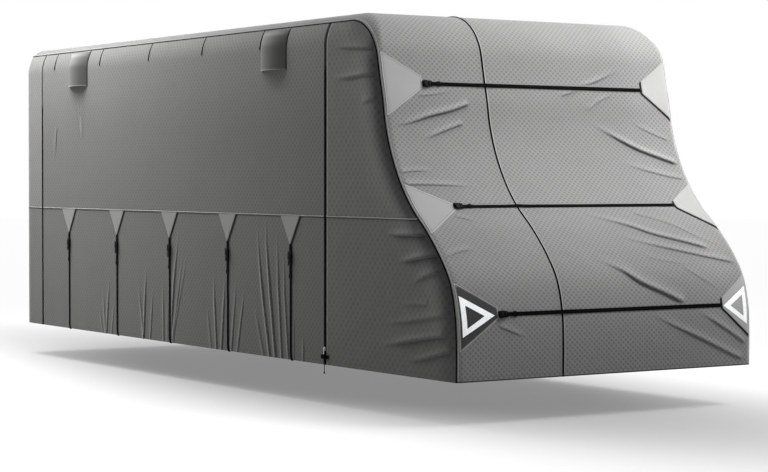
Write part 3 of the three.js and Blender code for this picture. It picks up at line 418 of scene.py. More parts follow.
def taper(along):
    """A crease starts sharp and runs out slowly."""
    return ease(along / 0.08) * ease((1 - along) / 0.5)


def crease_relief(creases, a, b):
    """How far the creases lift the cloth, and its tone. Each has a long slope over it, with a painted
    highlight by its crest, and falls steeply into a groove, with painted shade under it."""
    a, b = np.broadcast_arrays(a, b)
    lift, tone = np.zeros(a.shape), np.ones(a.shape)
    for crease, part, over, strength, _, _ in reached(creases, a, b):
        lift[part] += crease["lift"] * strength * height_across(CREASE, over / crease["width"])
        tone[part] += light_across(CREASE, strength * crease["lift"], over)
    return lift, tone


def draw_to_creases(creases, a, b, strength):
    """Moves the points of a cloth towards the nearest crease, so that its steep side has small cells, and
    makes its crest lean over that side."""
    best = np.full(a.shape, np.inf)
    move_a, move_b = np.zeros(a.shape), np.zeros(a.shape)
    for crease, part, off, fade, up_a, up_b in reached(creases, a, b):
        fade = fade * strength[part]
        drawn = pinched(CREASE, off, fade)
        lean = 0.3 * crease["lift"] * fade * bell(drawn / crease["width"], 0, 0.4)
        move = drawn - off - lean
        nearer = np.abs(off) < best[part]
        best[part] = np.where(nearer, np.abs(off), best[part])
        move_a[part] = np.where(nearer, up_a * move, move_a[part])
        move_b[part] = np.where(nearer, up_b * move, move_b[part])
    return a + move_a, b + move_b


def fold_middle(fold, z):
    line = np.array(fold["line"][::-1], float)
    return np.interp(z, line[:, 1], line[:, 0]), ease((line[-1, 1] - z) / line[-1, 1] * 1.8 + 0.03)


def skirt_relief(folds, y, z):
    """How far the folds of a skirt stand out, and its tone. Each grows towards the hem, slopes to the rear,
    is steep in front, and has a painted highlight on its crest with a dark line of painted shade before it."""
    lift, tone = np.zeros_like(y), np.ones_like(y)
    for fold in folds:
        middle, grown = fold_middle(fold, z)
        off = (y - middle) / mix(0.75, 1.15, grown)
        lift += fold["lift"] * grown * height_across(FOLD, off)
        tone += light_across(FOLD, grown * fold["lift"], off)
    near_strap = np.min([np.abs(y - strap) for strap in SIDE_STRAP_Y], axis=0)
    calm = clear_of(near_strap) * clear_of(BAND - z, 0, 40)
    return lift * calm, mix(1, tone, calm)


def draw_to_folds(folds, y, z):
    """Moves the points of a skirt towards the nearest fold, so that its steep side has small cells."""
    best = np.full(y.shape, float(FOLD["pinch"]))
    moved = y.copy()
    for fold in folds:
        middle, grown = fold_middle(fold, z)
        off = y - middle
        nearer = (np.abs(off) < best) & (grown > 0)
        best = np.where(nearer, np.abs(off), best)
        moved = np.where(nearer, middle + pinched(FOLD, off, grown), moved)
    return moved


def roof_inside(x, y, half):
    """How far a point of the strip lies inside the line of the edge cord, seen from above."""
    beyond_x = np.abs(x) - (half - ROOF_CORNER)
    beyond_y = y - (ROOF_END - ROOF_CORNER)
    corner = np.hypot(np.maximum(beyond_x, 0), np.maximum(beyond_y, 0))
    return ROOF_CORNER - corner - np.minimum(np.maximum(beyond_x, beyond_y), 0)


def strip_point(length, x, side, lift=0.0):
    """A point of the front and roof cloth, lift millimetres over its outer face."""
    y, z, out_y, out_z = profile_at(length)
    edge = edge_at(length, side)
    inside = roof_inside(x, y, HALF - edge["inset"])
    drop = edge["drop"] * np.maximum(0, 1 - np.maximum(inside, 0) / edge["top"]) ** 2
    creased = crease_relief(FRONT_CREASES, x, z)[0] * calm_on_strip(length, x, z, inside)
    out = lift + creased - drop
    return np.column_stack([x + 0 * y, y + out_y * out, z + out_z * out])


def calm_on_strip(length, x, z, inside):
    """0 where a seam, a strap or the roof holds the cloth flat, and 1 away from them."""
    nearest = np.min([np.abs(z - strap["z"]) for strap in FRONT_STRAPS], axis=0)
    by_seams = clear_of(inside, 10) * clear_of(np.abs(x - FRONT_SEAM_X))
    return by_seams * clear_of(nearest) * (1 - ease((length - CURVE_END + 300) / 200))


def side_inset(side, y, z):
    """How far a side comes in under the strip's edge."""
    points = np.column_stack([y, z])
    depth = HEIGHT - points[:, 1]
    at = np.full(len(points), PROFILE_LENGTH[-1])
    for start in range(0, len(points), 4000):
        part = slice(start, start + 4000)
        if points[part, 0].min() > 1500:
            continue
        gaps = np.hypot(
            points[part, 0][:, None] - PROFILE[None, :, 0],
            points[part, 1][:, None] - PROFILE[None, :, 1],
        )
        nearest = gaps.argmin(axis=1)
        depth[part] = np.minimum(gaps.min(axis=1), np.where(points[part, 0] > 1400, depth[part], np.inf))
        at[part] = PROFILE_LENGTH[nearest]
    edge = edge_at(at, side)
    return edge["inset"] * np.maximum(0, 1 - np.maximum(depth - edge["drop"], 0) / edge["side"]) ** 2


def side_point(side, y, z, lift=0.0):
    return np.column_stack([side * (HALF - side_inset(side, y, z) + lift), y, z])


def roof_inset(z):
    """How far the sides and the back come in under the roof's edge at a height."""
    depth = np.maximum(HEIGHT - z - EDGE_ROOF["drop"], 0)
    return EDGE_ROOF["inset"] * np.maximum(0, 1 - depth / EDGE_ROOF["side"]) ** 2


def to_frame(points):
    """Millimetres from the hem to metres in the part's frame."""
    return (points - np.array([0, LENGTH / 2, HEIGHT])) / 1000


def mesh_of(name, shape):
    mesh = bpy.data.meshes.new(name)
    shape.to_mesh(mesh)
    shape.free()
    return mesh


def points_of(mesh):
    points = np.zeros(len(mesh.vertices) * 3)
    mesh.vertices.foreach_get("co", points)
    return points.reshape(-1, 3)


def surface(name, columns, rows, place, thickness=0):
    """A mesh of columns by rows cells. place turns each corner's share across and up, from 0 to 1, into a
    point, its place on the flat cloth, its distance from the seam beside it, in millimetres, and its tone:
    the painted light and shade, as how much lighter or darker it is than the cloth's colour. The tone may be
    left out. The thickness, in millimetres, goes to the inner side."""
    grid = bmesh.new()
    bmesh.ops.create_grid(grid, x_segments=columns, y_segments=rows, size=0.5)
    for edge in grid.edges:
        edge.smooth = not edge.is_boundary
    mesh = mesh_of(name, grid)
    corners = points_of(mesh)[:, :2]
    shares = (corners - corners.min(axis=0)) / np.ptp(corners, axis=0)
    points, on_cloth, from_seam, tone = (*place(shares[:, 0], shares[:, 1]), 1)[:4]
    mesh.vertices.foreach_set("co", to_frame(points).ravel())
    for key, value in (("from_seam", from_seam), ("tone", tone)):
        kept = mesh.attributes.new(key, "FLOAT", "POINT")
        kept.data.foreach_set("value", np.broadcast_to(value, len(points)).astype(np.float32))
    # Each corner's place on the flat cloth, in metres, is a map for the materials
    corner_points = np.zeros(len(mesh.loops), int)
    mesh.loops.foreach_get("vertex_index", corner_points)
    mesh.uv_layers.new(name="cloth").data.foreach_set("uv", (on_cloth / 1000)[corner_points].ravel())
    mesh.shade_smooth()
    piece = add_object(name, mesh)
    if thickness:
        thicken(piece, thickness)
    return piece


def add_object(name, data):
    made = bpy.data.objects.new(name, data)
    bpy.context.scene.collection.objects.link(made)
    return made


def thicken(piece, thickness):
    """Gives a sheet its thickness on the inner side, in millimetres."""
    wall = piece.modifiers.new("thickness", "SOLIDIFY")
    wall.thickness = thickness / 1000
    wall.offset = -1


def finish_piece(piece, material, slot, *nodes):
    piece.data.materials.append(material)
    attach(piece, "root")
    if nodes:
        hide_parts(*nodes)


# Cloths

STRIP_ROWS = {"front": 264, "curve": 22, "roof": 16, "corner": 8}
STRIP_COLUMNS = {-1: 126, 1: 140}


def strip_length(up):
    """Rows lie close together up the front, and wider apart on the roof."""
    front, curve, roof, corner = STRIP_ROWS.values()
    row = up * (front + curve + roof + corner)
    ends = np.cumsum([0, front, curve, roof])
    turn = np.clip((row - ends[-1]) / corner, 0, 1) * math.pi / 2
    straight = np.interp(row, ends, [0, CURVE_END - CURVE_LENGTH, CURVE_END, CORNER_LENGTH])
    return straight + (ROOF_CORNER - EDGE_TUCK) * np.sin(turn)


def strip_half(length, side):
    """The edge cord's distance from the middle, which shrinks round the roof's rear corners."""
    into_corner = np.clip((length - CORNER_LENGTH) / ROOF_CORNER, 0, 1)
    return HALF - edge_at(length, side)["inset"] - ROOF_CORNER * (1 - np.sqrt(1 - into_corner**2))


def add_strip(side, name):
    def place(across, up):
        length = strip_length(up)
        edge = side * (strip_half(length, side) - EDGE_TUCK)
        seam = FRONT_SEAM_X + side * SEAM_TUCK
        x = mix(edge, seam, across) if side < 0 else mix(seam, edge, across)
        _, z, out_y, _ = profile_at(length)
        calm = calm_on_strip(length, x, z, side * (edge - x))
        x, drawn_z = draw_to_creases(FRONT_CREASES, x, z, calm)
        length = length + (drawn_z - z) / np.maximum(-out_y, 0.3)
        height = profile_at(length)[1]
        from_cord = side * (edge - x)
        from_seam = np.minimum(from_cord, x - seam) if side > 0 else from_cord
        creased = mix(1, crease_relief(FRONT_CREASES, x, height)[1], calm)
        # Painted shade on the roof beside its cord and at the front's hem, and painted light on the front's
        # far side
        on_roof = np.clip((length - CURVE_END + 200) / 500, 0, 1)
        beside_cord = mix(1, mix(TONE["roof_by_cord"], 1, ease((from_cord - 60) / 60)), on_roof)
        lit = mix(1, TONE["front_far_edge"], ease((x - 600) / 500))
        lit = lit * mix(TONE["front_hem"], 1, ease(height / 600))
        tone = creased * beside_cord * lit
        return strip_point(length, x, side), np.column_stack([x, length]), from_seam, tone

    return surface(name, STRIP_COLUMNS[side], sum(STRIP_ROWS.values()), place, CLOTH)


def corner_full(side, from_cord, z):
    """How far a side swells out behind the front corner's cord."""
    reach = np.maximum(from_cord, 0) / CORNER_FULLNESS[side]["reach"]
    swell = CORNER_FULLNESS[side]["lift"] * reach * np.exp(1 - reach)
    return swell * ease((z - 100) / 300) * ease((2150 - z) / 250)


def front_side_place(side, back_y, low, high, creases):
    """Places a cloth between an upright line and the front corner's cord, from one length to another."""
    def place(across, up):
        edge_y, z = edge_point(mix(low, high, up), side, EDGE_TUCK)
        y = mix(back_y, edge_y, across) if side < 0 else mix(edge_y, back_y, across)
        calm = clear_of(y - edge_y, 0, 24) * clear_of(np.abs(z - BAND), 8)
        calm = calm * clear_of(np.abs(y - ZIP_Y), 20, 50)
        y, z = draw_to_creases(creases, y, z, calm)
        lift, creased = crease_relief(creases, y, z)
        # Painted shade towards the front corner's cord and on the skirt
        shaded = mix(TONE["side_by_front_cord"], 1, ease((y - edge_y) / 230))
        shaded = shaded * mix(TONE["skirt"], 1, ease((z - BAND) / 8))
        points = side_point(side, y, z, lift * calm + corner_full(side, y - edge_y, z))
        return points, np.column_stack([y, z]), back_y - y, mix(1, creased, calm) * shaded

    return place


def right_side_places():
    zip_edge = ZIP_Y - ZIP_WIDTH / 2
    band = length_at_height(-1, BAND, EDGE_TUCK)
    front, back = ZIP_Y + ZIP_WIDTH / 2, REAR_SEAM_Y - SEAM_TUCK

    def long_upper(across, up):
        y, z = mix(back, front, across), mix(BAND, UPPER_TOP, up)
        y, z = draw_to_creases(RIGHT_SIDE_CREASES, y, z, np.ones_like(up))
        lift, tone = crease_relief(RIGHT_SIDE_CREASES, y, z)
        # Painted light towards the top of the side, over the creases' painted light and shade
        tone = tone * mix(TONE["side_middle"], TONE["side_top"], ease((z - 1500) / 620))
        return side_point(-1, y, z, lift), np.column_stack([y, z]), back - y, tone

    def long_skirt(across, up):
        z = mix(0, BAND, up)
        y = draw_to_folds(RIGHT_SKIRT_FOLDS, mix(back, front, across), z)
        lift, tone = skirt_relief(RIGHT_SKIRT_FOLDS, y, z)
        # Painted shade on the skirt, with the folds' painted light and dark
        return side_point(-1, y, z, lift), np.column_stack([y, z]), back - y, TONE["skirt"] * tone

    return {
        "front_side_skirt_right": front_side_place(-1, zip_edge, 0, band, RIGHT_SIDE_CREASES),
        "front_side_upper_right": front_side_place(-1, zip_edge, band, CURVE_END, RIGHT_SIDE_CREASES),
        "side_upper_right": long_upper,
        "side_skirt_right": long_skirt,
    }


def left_side_places():
    seam = REAR_SEAM_Y - SEAM_TUCK
    band = length_at_height(1, BAND, EDGE_TUCK)
    upper = front_side_place(1, seam, band, CURVE_END, LEFT_SIDE_CREASES)
    unfolded = front_side_place(1, seam, 0, band, LEFT_SIDE_CREASES)

    def skirt(across, up):
        points, on_cloth, from_seam, tone = unfolded(across, up)
        lift, folded = skirt_relief(LEFT_SKIRT_FOLDS, on_cloth[:, 0], on_cloth[:, 1])
        points[:, 0] += lift
        return points, on_cloth, from_seam, tone * folded

    return {"side_skirt_left": skirt, "side_upper_left": upper}


def rear_point(share, z):
    """A point of the rear cloth, from the left seam round the back to the right one."""
    straight = LENGTH - REAR_CORNER - REAR_SEAM_Y - SEAM_TUCK
    arc = math.pi / 2 * REAR_CORNER
    back = HALF - REAR_CORNER
    inset = roof_inset(z)
    half, end, radius = HALF - inset, LENGTH - inset, REAR_CORNER - inset
    run = np.minimum(share, 1 - share) * 2 * (straight + arc + back)
    turn = np.clip((run - straight) / REAR_CORNER, 0, math.pi / 2)
    beyond = np.clip((run - straight - arc) / back, 0, 1)
    x = (half - radius + radius * np.cos(turn)) * (1 - beyond)
    before_turn = (end - radius - REAR_SEAM_Y - SEAM_TUCK) * np.maximum(1 - run / straight, 0)
    y = end - radius + radius * np.sin(turn) - before_turn
    side = np.where(share < 0.5, 1, -1)
    on_cloth = np.column_stack([-side * (straight + arc + back - run), z])
    # The upper rear cloth is drawn lighter than the skirt, as painted light
    return np.column_stack([side * x, y, z]), on_cloth, run, np.where(z < BAND, 1.0, TONE["rear_upper"])


def rear_places():
    def skirt(across, up):
        return rear_point(across, mix(0, BAND, up))

    def upper(across, up):
        return rear_point(across, mix(BAND, UPPER_TOP, up))

    return {"rear_skirt": skirt, "rear_upper": upper}


# Cords and bands

def units(vectors):
    return vectors / np.linalg.norm(vectors, axis=1)[:, None]


def lengths_along(points):
    return np.concatenate([[0], np.cumsum(np.linalg.norm(np.diff(points, axis=0), axis=1))])


def station_of(up, centres):
    """The number of the centre that each corner of a cord's or band's grid belongs to."""
    return np.rint(up * (len(centres) - 1)).astype(int)


def outward(length):
    """The strip's outward direction at a length along it."""
    _, _, out_y, out_z = profile_at(length)
    return np.column_stack([0 * out_y, out_y, out_z])


def cord(name, centres, outs, radius, sides=10):
    """A round cord through the centres, closed at both ends."""
    ahead = units(np.gradient(centres, axis=0))
    outs = units(outs - ahead * np.sum(outs * ahead, axis=1)[:, None])
    beside_it = np.cross(ahead, outs)
    lengths = lengths_along(centres)
    radii = np.broadcast_to(radius, len(centres))

    def place(across, up):
        station = station_of(up, centres)
        angle = across * 2 * math.pi
        ring = np.cos(angle)[:, None] * outs[station] + np.sin(angle)[:, None] * beside_it[station]
        on_cord = np.column_stack([angle * radii.max(), lengths[station]])
        return centres[station] + ring * radii[station][:, None], on_cord, 0

    piece = surface(name, sides, len(centres) - 1, place)
    shape = bmesh.new()
    shape.from_mesh(piece.data)
    bmesh.ops.remove_doubles(shape, verts=shape.verts, dist=1e-5)
    for edge in shape.edges:
        edge.smooth = not edge.is_boundary
    bmesh.ops.holes_fill(shape, edges=shape.edges, sides=sides)
    shape.to_mesh(piece.data)
    shape.free()
    piece.data.shade_smooth()
    return piece


def band(name, centres, outs, width, thickness):
    """A flat band of webbing along the centres, whose outer face looks along outs."""
    to_side = units(np.cross(units(np.gradient(centres, axis=0)), outs))
    lengths = lengths_along(centres)

    def place(across, up):
        station = station_of(up, centres)
        off = (across - 0.5) * width
        on_band = np.column_stack([off, lengths[station]])
        return centres[station] + to_side[station] * off[:, None], on_band, width / 2 - np.abs(off)

    return surface(name, 4, len(centres) - 1, place, thickness)


def edge_cord_half(side):
    """One half of the edge cord's line, from the front hem to the middle of the roof's back."""
    lengths = np.concatenate([np.linspace(0, CURVE_END, 150), np.linspace(CURVE_END, CORNER_LENGTH, 40)[1:]])
    sunk = EDGE_PIPING - EDGE_CORD[side]
    y, z = edge_point(lengths, side, sunk)
    x = side * (HALF - edge_at(lengths, side)["inset"] - sunk)
    centres = np.column_stack([x, y, z])
    turn = np.radians(np.linspace(0, 90, 10))[1:]
    corner = np.column_stack([
        side * (ROOF_HALF - ROOF_CORNER + ROOF_CORNER * np.cos(turn)),
        ROOF_END - ROOF_CORNER + ROOF_CORNER * np.sin(turn),
        np.full(len(turn), CORD_TOP),
    ])
    outs = np.vstack([outward(lengths), np.tile([0, 0, 1], (len(turn), 1))])
    return np.vstack([centres, corner]), outs, np.full(len(outs), EDGE_CORD[side])


def add_edge_cord():
    halves = [edge_cord_half(-1), edge_cord_half(1)]
    centres, outs, radii = (np.concatenate([right, left[::-1]]) for right, left in zip(*halves))
    return cord("edge_cord", centres, outs, radii)


def add_seam_cords():
    up_front = np.linspace(0, CURVE_END, 110)
    lengths = np.concatenate([up_front, np.linspace(CURVE_END, CORNER_LENGTH + ROOF_CORNER, 30)[1:]])
    x = np.full(len(lengths), float(FRONT_SEAM_X))
    front = cord("front_seam_cord", strip_point(lengths, x, -1), outward(lengths), SEAM_PIPING)
    z = np.linspace(0, CORD_TOP, 60)
    rears = []
    for side, name in SIDES:
        centres = np.column_stack([side * (HALF - roof_inset(z)), np.full(len(z), REAR_SEAM_Y), z])
        rears.append(cord(f"rear_seam_cord_{name}", centres, (side, 0, 0), REAR_PIPING))
    return front, rears


# Patches

def length_at(z):
    """The strip's length up to a height of the front."""
    lengths = np.linspace(0, CURVE_END, 3000)
    return np.interp(z, profile_at(lengths)[1], lengths)


def front_patch(name, side, shape):
    """A pointed patch on the front. Across runs from its outer edge to its tip on the right, and back on the
    left."""
    def place(across, up):
        out = 1 - across if side < 0 else across
        x = mix(PATCH_TIP[side], side * PATCH_EDGE, out)
        low, high = mix(shape["tip"][0], shape["bottom"], out), mix(shape["tip"][1], shape["top"], out)
        z = mix(low, high, up)
        length = length_at(z)
        rim = np.minimum(np.minimum(up, 1 - up) * (high - low), (1 - np.abs(2 * out - 1)) * 150)
        over = FRONT_PATCH["gap"] + PATCH_CLOTH + 1 - ease(rim / FRONT_PATCH["turned_rim"])
        if side > 0:
            rim = np.minimum(up * (high - low), out * (side * PATCH_EDGE - PATCH_TIP[side]))
        return strip_point(length, x, side, over), np.column_stack([x, length]), rim

    return surface(name, 30, 40, place, PATCH_CLOTH)


def side_patch(name, side, y_middle):
    top = BAND - SIDE_PATCH["below"]

    def place(across, up):
        half = mix(SIDE_PATCH["tip"], SIDE_PATCH["width"], up) / 2
        off = (2 * across - 1) * half
        z = mix(top - SIDE_PATCH["depth"], top, up)
        y = y_middle + (off if side > 0 else -off)
        rim = np.minimum((1 - np.abs(2 * across - 1)) * half, up * SIDE_PATCH["depth"])
        turned = 1 - ease(rim / SIDE_PATCH["turned_rim"])
        lift = STAND["side_patch"] + SIDE_PATCH["rim_lift"] * turned
        from_front = (1 - across if side < 0 else across) * 2 * half
        return side_point(side, y, z, lift), np.column_stack([y - y_middle, z]), from_front

    return surface(name, 20, 16, place, PATCH_CLOTH)


def reflective_frame(name, side):
    """A flat triangular frame with mitred corners."""
    shape = bmesh.new()
    for first in range(3):
        second = (first + 1) % 3
        before = len(shape.verts)
        bmesh.ops.create_grid(shape, x_segments=16, y_segments=3, size=0.5)
        shape.verts.ensure_lookup_table()
        for vert in shape.verts[before:]:
            along, inward = vert.co.x + 0.5, vert.co.y + 0.5
            outer, inner = (
                [mix(ring[first][k], ring[second][k], along) for k in (0, 1)]
                for ring in (TRIANGLE_OUTER, TRIANGLE_INNER)
            )
            out, z = (mix(outer[k], inner[k], inward) for k in (0, 1))
            x = mix(PATCH_TIP[side], side * PATCH_EDGE, out)
            point = strip_point(length_at(np.array([z])), np.array([x]), side, STAND["triangle"])
            vert.co = Vector(to_frame(point)[0])
    bmesh.ops.remove_doubles(shape, verts=shape.verts, dist=1e-5)
    bmesh.ops.recalc_face_normals(shape, faces=shape.faces)
    if sum(face.normal.y for face in shape.faces) > 0:
        bmesh.ops.reverse_faces(shape, faces=shape.faces)
    piece = add_object(name, mesh_of(name, shape))
    thicken(piece, FILM)
    return piece


def add_hood(name, side, y_middle):
    """A hood over an air vent: sewn down at its top and sides, bowed out towards its open lower edge."""
    width, top, bottom = VENT_FLAP.values()

    def place(across, up):
        along = np.sin((2 * across - 1) * math.pi / 2)
        z = mix(bottom, top, up)
        bow = 1 - np.abs(along) ** 2.2
        opened = mix(HOOD_BOW["top_share"], 1, ease((top - z) / HOOD_BOW["opens_over"]))
        bowed = (HOOD_BOW["stand"] * opened + roof_inset(z) * 0.75) * bow
        lift = STAND["hood"] + bowed * ease((top - z) / HOOD_BOW["rises_over"])
        y = y_middle + side * along * width / 2
        rim = np.minimum(z - bottom, width / 2 - (y - y_middle))
        # Painted light on the hood's rear half, and painted shade on the half that looks to the front
        tone = mix(TONE["hood_back"], TONE["hood_front"], ease(0.5 - side * along / 2))
        return side_point(side, y, z, lift), np.column_stack([y - y_middle, z]), rim, tone

    return surface(name, 56, 30, place, PATCH_CLOTH)


# Straps

def front_strap(name, strap):
    x = np.linspace(PATCH_TIP[-1] + 1, PATCH_TIP[1] - 1, 120)
    length = length_at(np.full(len(x), strap["z"]))
    over_cord = bell(x, FRONT_SEAM_X, 60)
    centres = strip_point(length, x, -1, STAND["front_strap"] + 4 * over_cord)
    return band(name, centres, outward(length[0]), STRAP_WIDTH, STRAP)


def side_strap(name, side, y):
    top = BAND - SIDE_PATCH["below"] - SIDE_PATCH["depth"]
    face = HALF + STAND["side_strap"]
    inside = HALF - CLOTH - 2.5
    down = [(face, z) for z in np.linspace(top, 2, 36)]
    round_hem = [(face - 1, -3), (face - 4, -5), (inside + 3, -5), (inside, -2)]
    up = [(inside, z) for z in (6, 28, 52)]
    path = np.array(down + round_hem + up)
    lean = STRAP_LEAN["forward"] * ease((STRAP_LEAN["under"] - path[:, 1]) / STRAP_LEAN["under"])
    centres = np.column_stack([side * path[:, 0], y - lean, path[:, 1]])
    ahead = np.gradient(path, axis=0)
    outs = np.column_stack([side * -ahead[:, 1], 0 * path[:, 0], side * ahead[:, 0]])
    return band(name, centres, outs * np.array([1, 1, side]), STRAP_WIDTH, STRAP)


# Buckles, zip and small parts


def block(shape, low, high, rounding):
    """Adds a box with rounded edges between two corners, in millimetres."""
    low, high = Vector(low), Vector(high)
    place = Matrix.Translation((low + high) / 2) @ Matrix.Diagonal((*(high - low), 1))
    corners = bmesh.ops.create_cube(shape, size=1, matrix=place)["verts"]
    edges = list({edge for corner in corners for edge in corner.link_edges})
    bmesh.ops.bevel(
        shape, geom=edges, offset=rounding, segments=3, profile=0.5, affect="EDGES", material=-1
    )


def placed_piece(name, shape, start, along, across, out):
    """Turns a shape drawn along x, across y and out along z to its place, and makes it a piece."""
    shape.transform(Matrix([[along[i], across[i], out[i], start[i]] for i in range(3)] + [[0, 0, 0, 1]]))
    mesh = mesh_of(name, shape)
    mesh.vertices.foreach_set("co", to_frame(points_of(mesh)).ravel())
    mesh.shade_smooth()
    return add_object(name, mesh)


def buckle_shape(length, width, depth):
    """A side-release buckle: socket with its window grips, plug with two prongs, and a bar at either end."""
    shape = bmesh.new()
    half = width / 2
    block(shape, (0.05 * length, -half, 0.3), (0.54 * length, half, depth), 2.6)
    block(shape, (0.12 * length, -0.3 * width, depth - 1.5), (0.47 * length, 0.3 * width, depth + 0.7), 1)
    block(shape, (0.6 * length, -0.46 * width, 0.6), (0.84 * length, 0.46 * width, depth - 0.8), 2.2)
    block(shape, (0.63 * length, -0.28 * width, depth - 2), (0.8 * length, 0.28 * width, depth), 0.8)
    block(shape, (0.5 * length, -1.6, 3.4), (0.64 * length, 1.6, depth - 3.4), 0.9)
    # Grips, prongs and the rails of both bars, by their start, end, sides, heights and rounding
    pairs = [
        (0.2, 0.46, half - 4, half + 2, 2.4, 2.4, 1.6),
        (0.5, 0.64, 0.2 * width, 0.32 * width, 3, 3, 0.9),
        (-0.04, 0.1, half - 6, half - 1.5, 1.2, 3.5, 1),
        (0.8, 1, half - 6, half - 1.5, 1.2, 3.5, 1),
    ]
    for side in (-1, 1):
        for start, end, near, far, low, under, rounding in pairs:
            reach = sorted((side * near, side * far))
            block(shape, (start * length, reach[0], low), (end * length, reach[1], depth - under), rounding)
    for start, end in ((-0.04, 0.01), (0.94, 1)):
        block(shape, (start * length, 2.5 - half, 1.6), (end * length, half - 2.5, depth - 4), 1)
    return shape


def adjuster_shape(length, width, depth):
    """A three-bar slide that holds the webbing's loose end."""
    shape = bmesh.new()
    half = width / 2
    for side in (-1, 1):
        rail = sorted((side * (half - 4), side * half))
        block(shape, (0, rail[0], 0), (length, rail[1], depth), 1)
    for start in (0, length / 2 - 2, length - 4):
        block(shape, (start, 1 - half, 0.4), (start + 4, half - 1, depth - 0.4), 1)
    return shape


def buckle_set(names, size, start, along, across, out):
    """A buckle, the slide beyond it on its strap, and the webbing that runs doubled through both."""
    start, along, out = (np.array(value, float) for value in (start, along, out))
    shape = buckle_shape(size["length"], size["width"], size["depth"])
    buckle = placed_piece(names[0], shape, start, along, across, out)
    slide_start = start + size["slide"] * along + size["slide_out"] * out
    slide = placed_piece(names[1], adjuster_shape(24, 34, 5), slide_start, along, across, out)
    run = np.linspace(*size["doubled"], size["stations"])[:, None]
    centres = start + run * along + size["doubled_out"] * out
    return buckle, slide, band(names[2], centres, out, size["webbing"], STRAP)


def add_side_buckles():
    axes = (0, 0, -1), (0, -1, 0), (-1, 0, 0)
    sets = []
    for i, y in enumerate(SIDE_STRAP_Y, 1):
        names = f"side_buckle_{i}", f"side_adjuster_{i}", f"side_doubled_webbing_{i}"
        start = (-HALF - STAND["side_buckle"], y, SIDE_BUCKLE["top"])
        sets.append(buckle_set(names, SIDE_BUCKLE, start, *axes))
    return sets


def add_front_buckles():
    sets = []
    for i, strap in enumerate(FRONT_STRAPS, 1):
        y, z, out_y, out_z = profile_at(length_at(strap["z"]))
        axes = (1, 0, 0), (0, out_z, -out_y), (0, out_y, out_z)
        names = f"front_buckle_{i}_moulded", f"front_adjuster_{i}", f"front_doubled_webbing_{i}"
        start = (PATCH_TIP[-1] + 2, y + STAND["front_buckle"] * out_y, z + STAND["front_buckle"] * out_z)
        sets.append(buckle_set(names, FRONT_BUCKLE, start, *axes))
    return sets


def add_zip():
    def place(across, up):
        step = (0.5 - across) * (ZIP_WIDTH + 6)
        z = up * (CORD_TOP - EDGE_PIPING)
        teeth = ZIP_TEETH["height"] * np.exp(-((step / ZIP_TEETH["half_width"]) ** 4))
        points = side_point(-1, ZIP_Y + step, z, STAND["zip"] + teeth)
        return points, np.column_stack([-step, z]), np.abs(step)

    return surface("zip_woven_tape", 22, 160, place, 1)


def add_zip_slider():
    """The slider, its crown and a pull with a slot, drawn along z upwards."""
    shape = bmesh.new()
    block(shape, (0, -7.5, 0.4), (24, 7.5, 3.2), 1.2)
    block(shape, (3, -5, 5.4), (21, 5, 8), 1.1)
    block(shape, (9, -2.2, 2.6), (15, 2.2, 9.6), 1)
    for side in (-1, 1):
        rail = sorted((side * 2.4, side * 5))
        block(shape, (-22, rail[0], 8.2), (16, rail[1], 10.6), 0.8)
    block(shape, (12, -5, 8.2), (17, 5, 10.6), 0.8)
    block(shape, (-22, -5, 8.2), (-8, 5, 10.6), 0.8)
    face = -HALF - STAND["slider"]
    return placed_piece("zip_slider_metal", shape, (face, ZIP_Y, 92), (0, 0, 1), (0, 1, 0), (-1, 0, 0))


def add_zip_end():
    """The tape across the zip's lower end, and the cord that hangs from it with a knot."""
    out = (-1, 0, 0)
    face = -HALF - STAND["zip_end"]
    hang_x = face - 2.6
    middle = ZIP_TAB["z"] + ZIP_TAB["height"] / 2
    y = ZIP_Y + ZIP_TAB["width"] * np.linspace(0.5, -0.5, 24)
    centres = np.column_stack([np.full(24, face), y, np.full(24, float(middle))])
    tape = band("zip_end_tape", centres, out, ZIP_TAB["height"], 2)
    z = np.linspace(middle + 6, -58, 26)
    hang = np.column_stack([np.full(26, hang_x), ZIP_Y + 2 * np.sin(z / 26), z])
    tail = cord("zip_pull_cord", hang, out, 2.3)
    shape = bmesh.new()
    for turn, tilt in ((0, 25), (4, -25)):
        place = Matrix.Translation((turn, 0, 0)) @ Matrix.Rotation(math.radians(tilt), 4, "Z")
        squash = Matrix.Diagonal((5, 6.4, 4.6, 1))
        bmesh.ops.create_uvsphere(shape, u_segments=16, v_segments=10, radius=1, matrix=place @ squash)
    knot = placed_piece("zip_cord_knot", shape, (hang_x, ZIP_Y, -54), (0, 0, 1), (0, 1, 0), out)
    return tape, tail, knot


def add_darts(name, side):
    """Short sewn darts that take in the cloth under the roof's edge, in dark thread over a thin cord."""
    places = [(y, DART["low"], DART["radius"]) for y in DART_Y]
    beside_hood, low = VENT_FLAP["width"] / 2 + 4, VENT_FLAP["bottom"] - 2
    places += [(y - beside_hood, low, DART["radius_by_hood"]) for y in VENT_FLAP_Y]
    pieces = []
    for i, (y, low, radius) in enumerate(places, 1):
        z = np.linspace(low, CORD_TOP, 34)
        centres = side_point(side, np.full(34, float(y)), z, STAND["dart"])
        radii = radius * mix(1, 0.55, ease((z - low) / (CORD_TOP - low)))
        pieces.append(cord(f"{name}_{i}", centres, (side, 0, 0.2), radii, sides=8))
    return pieces


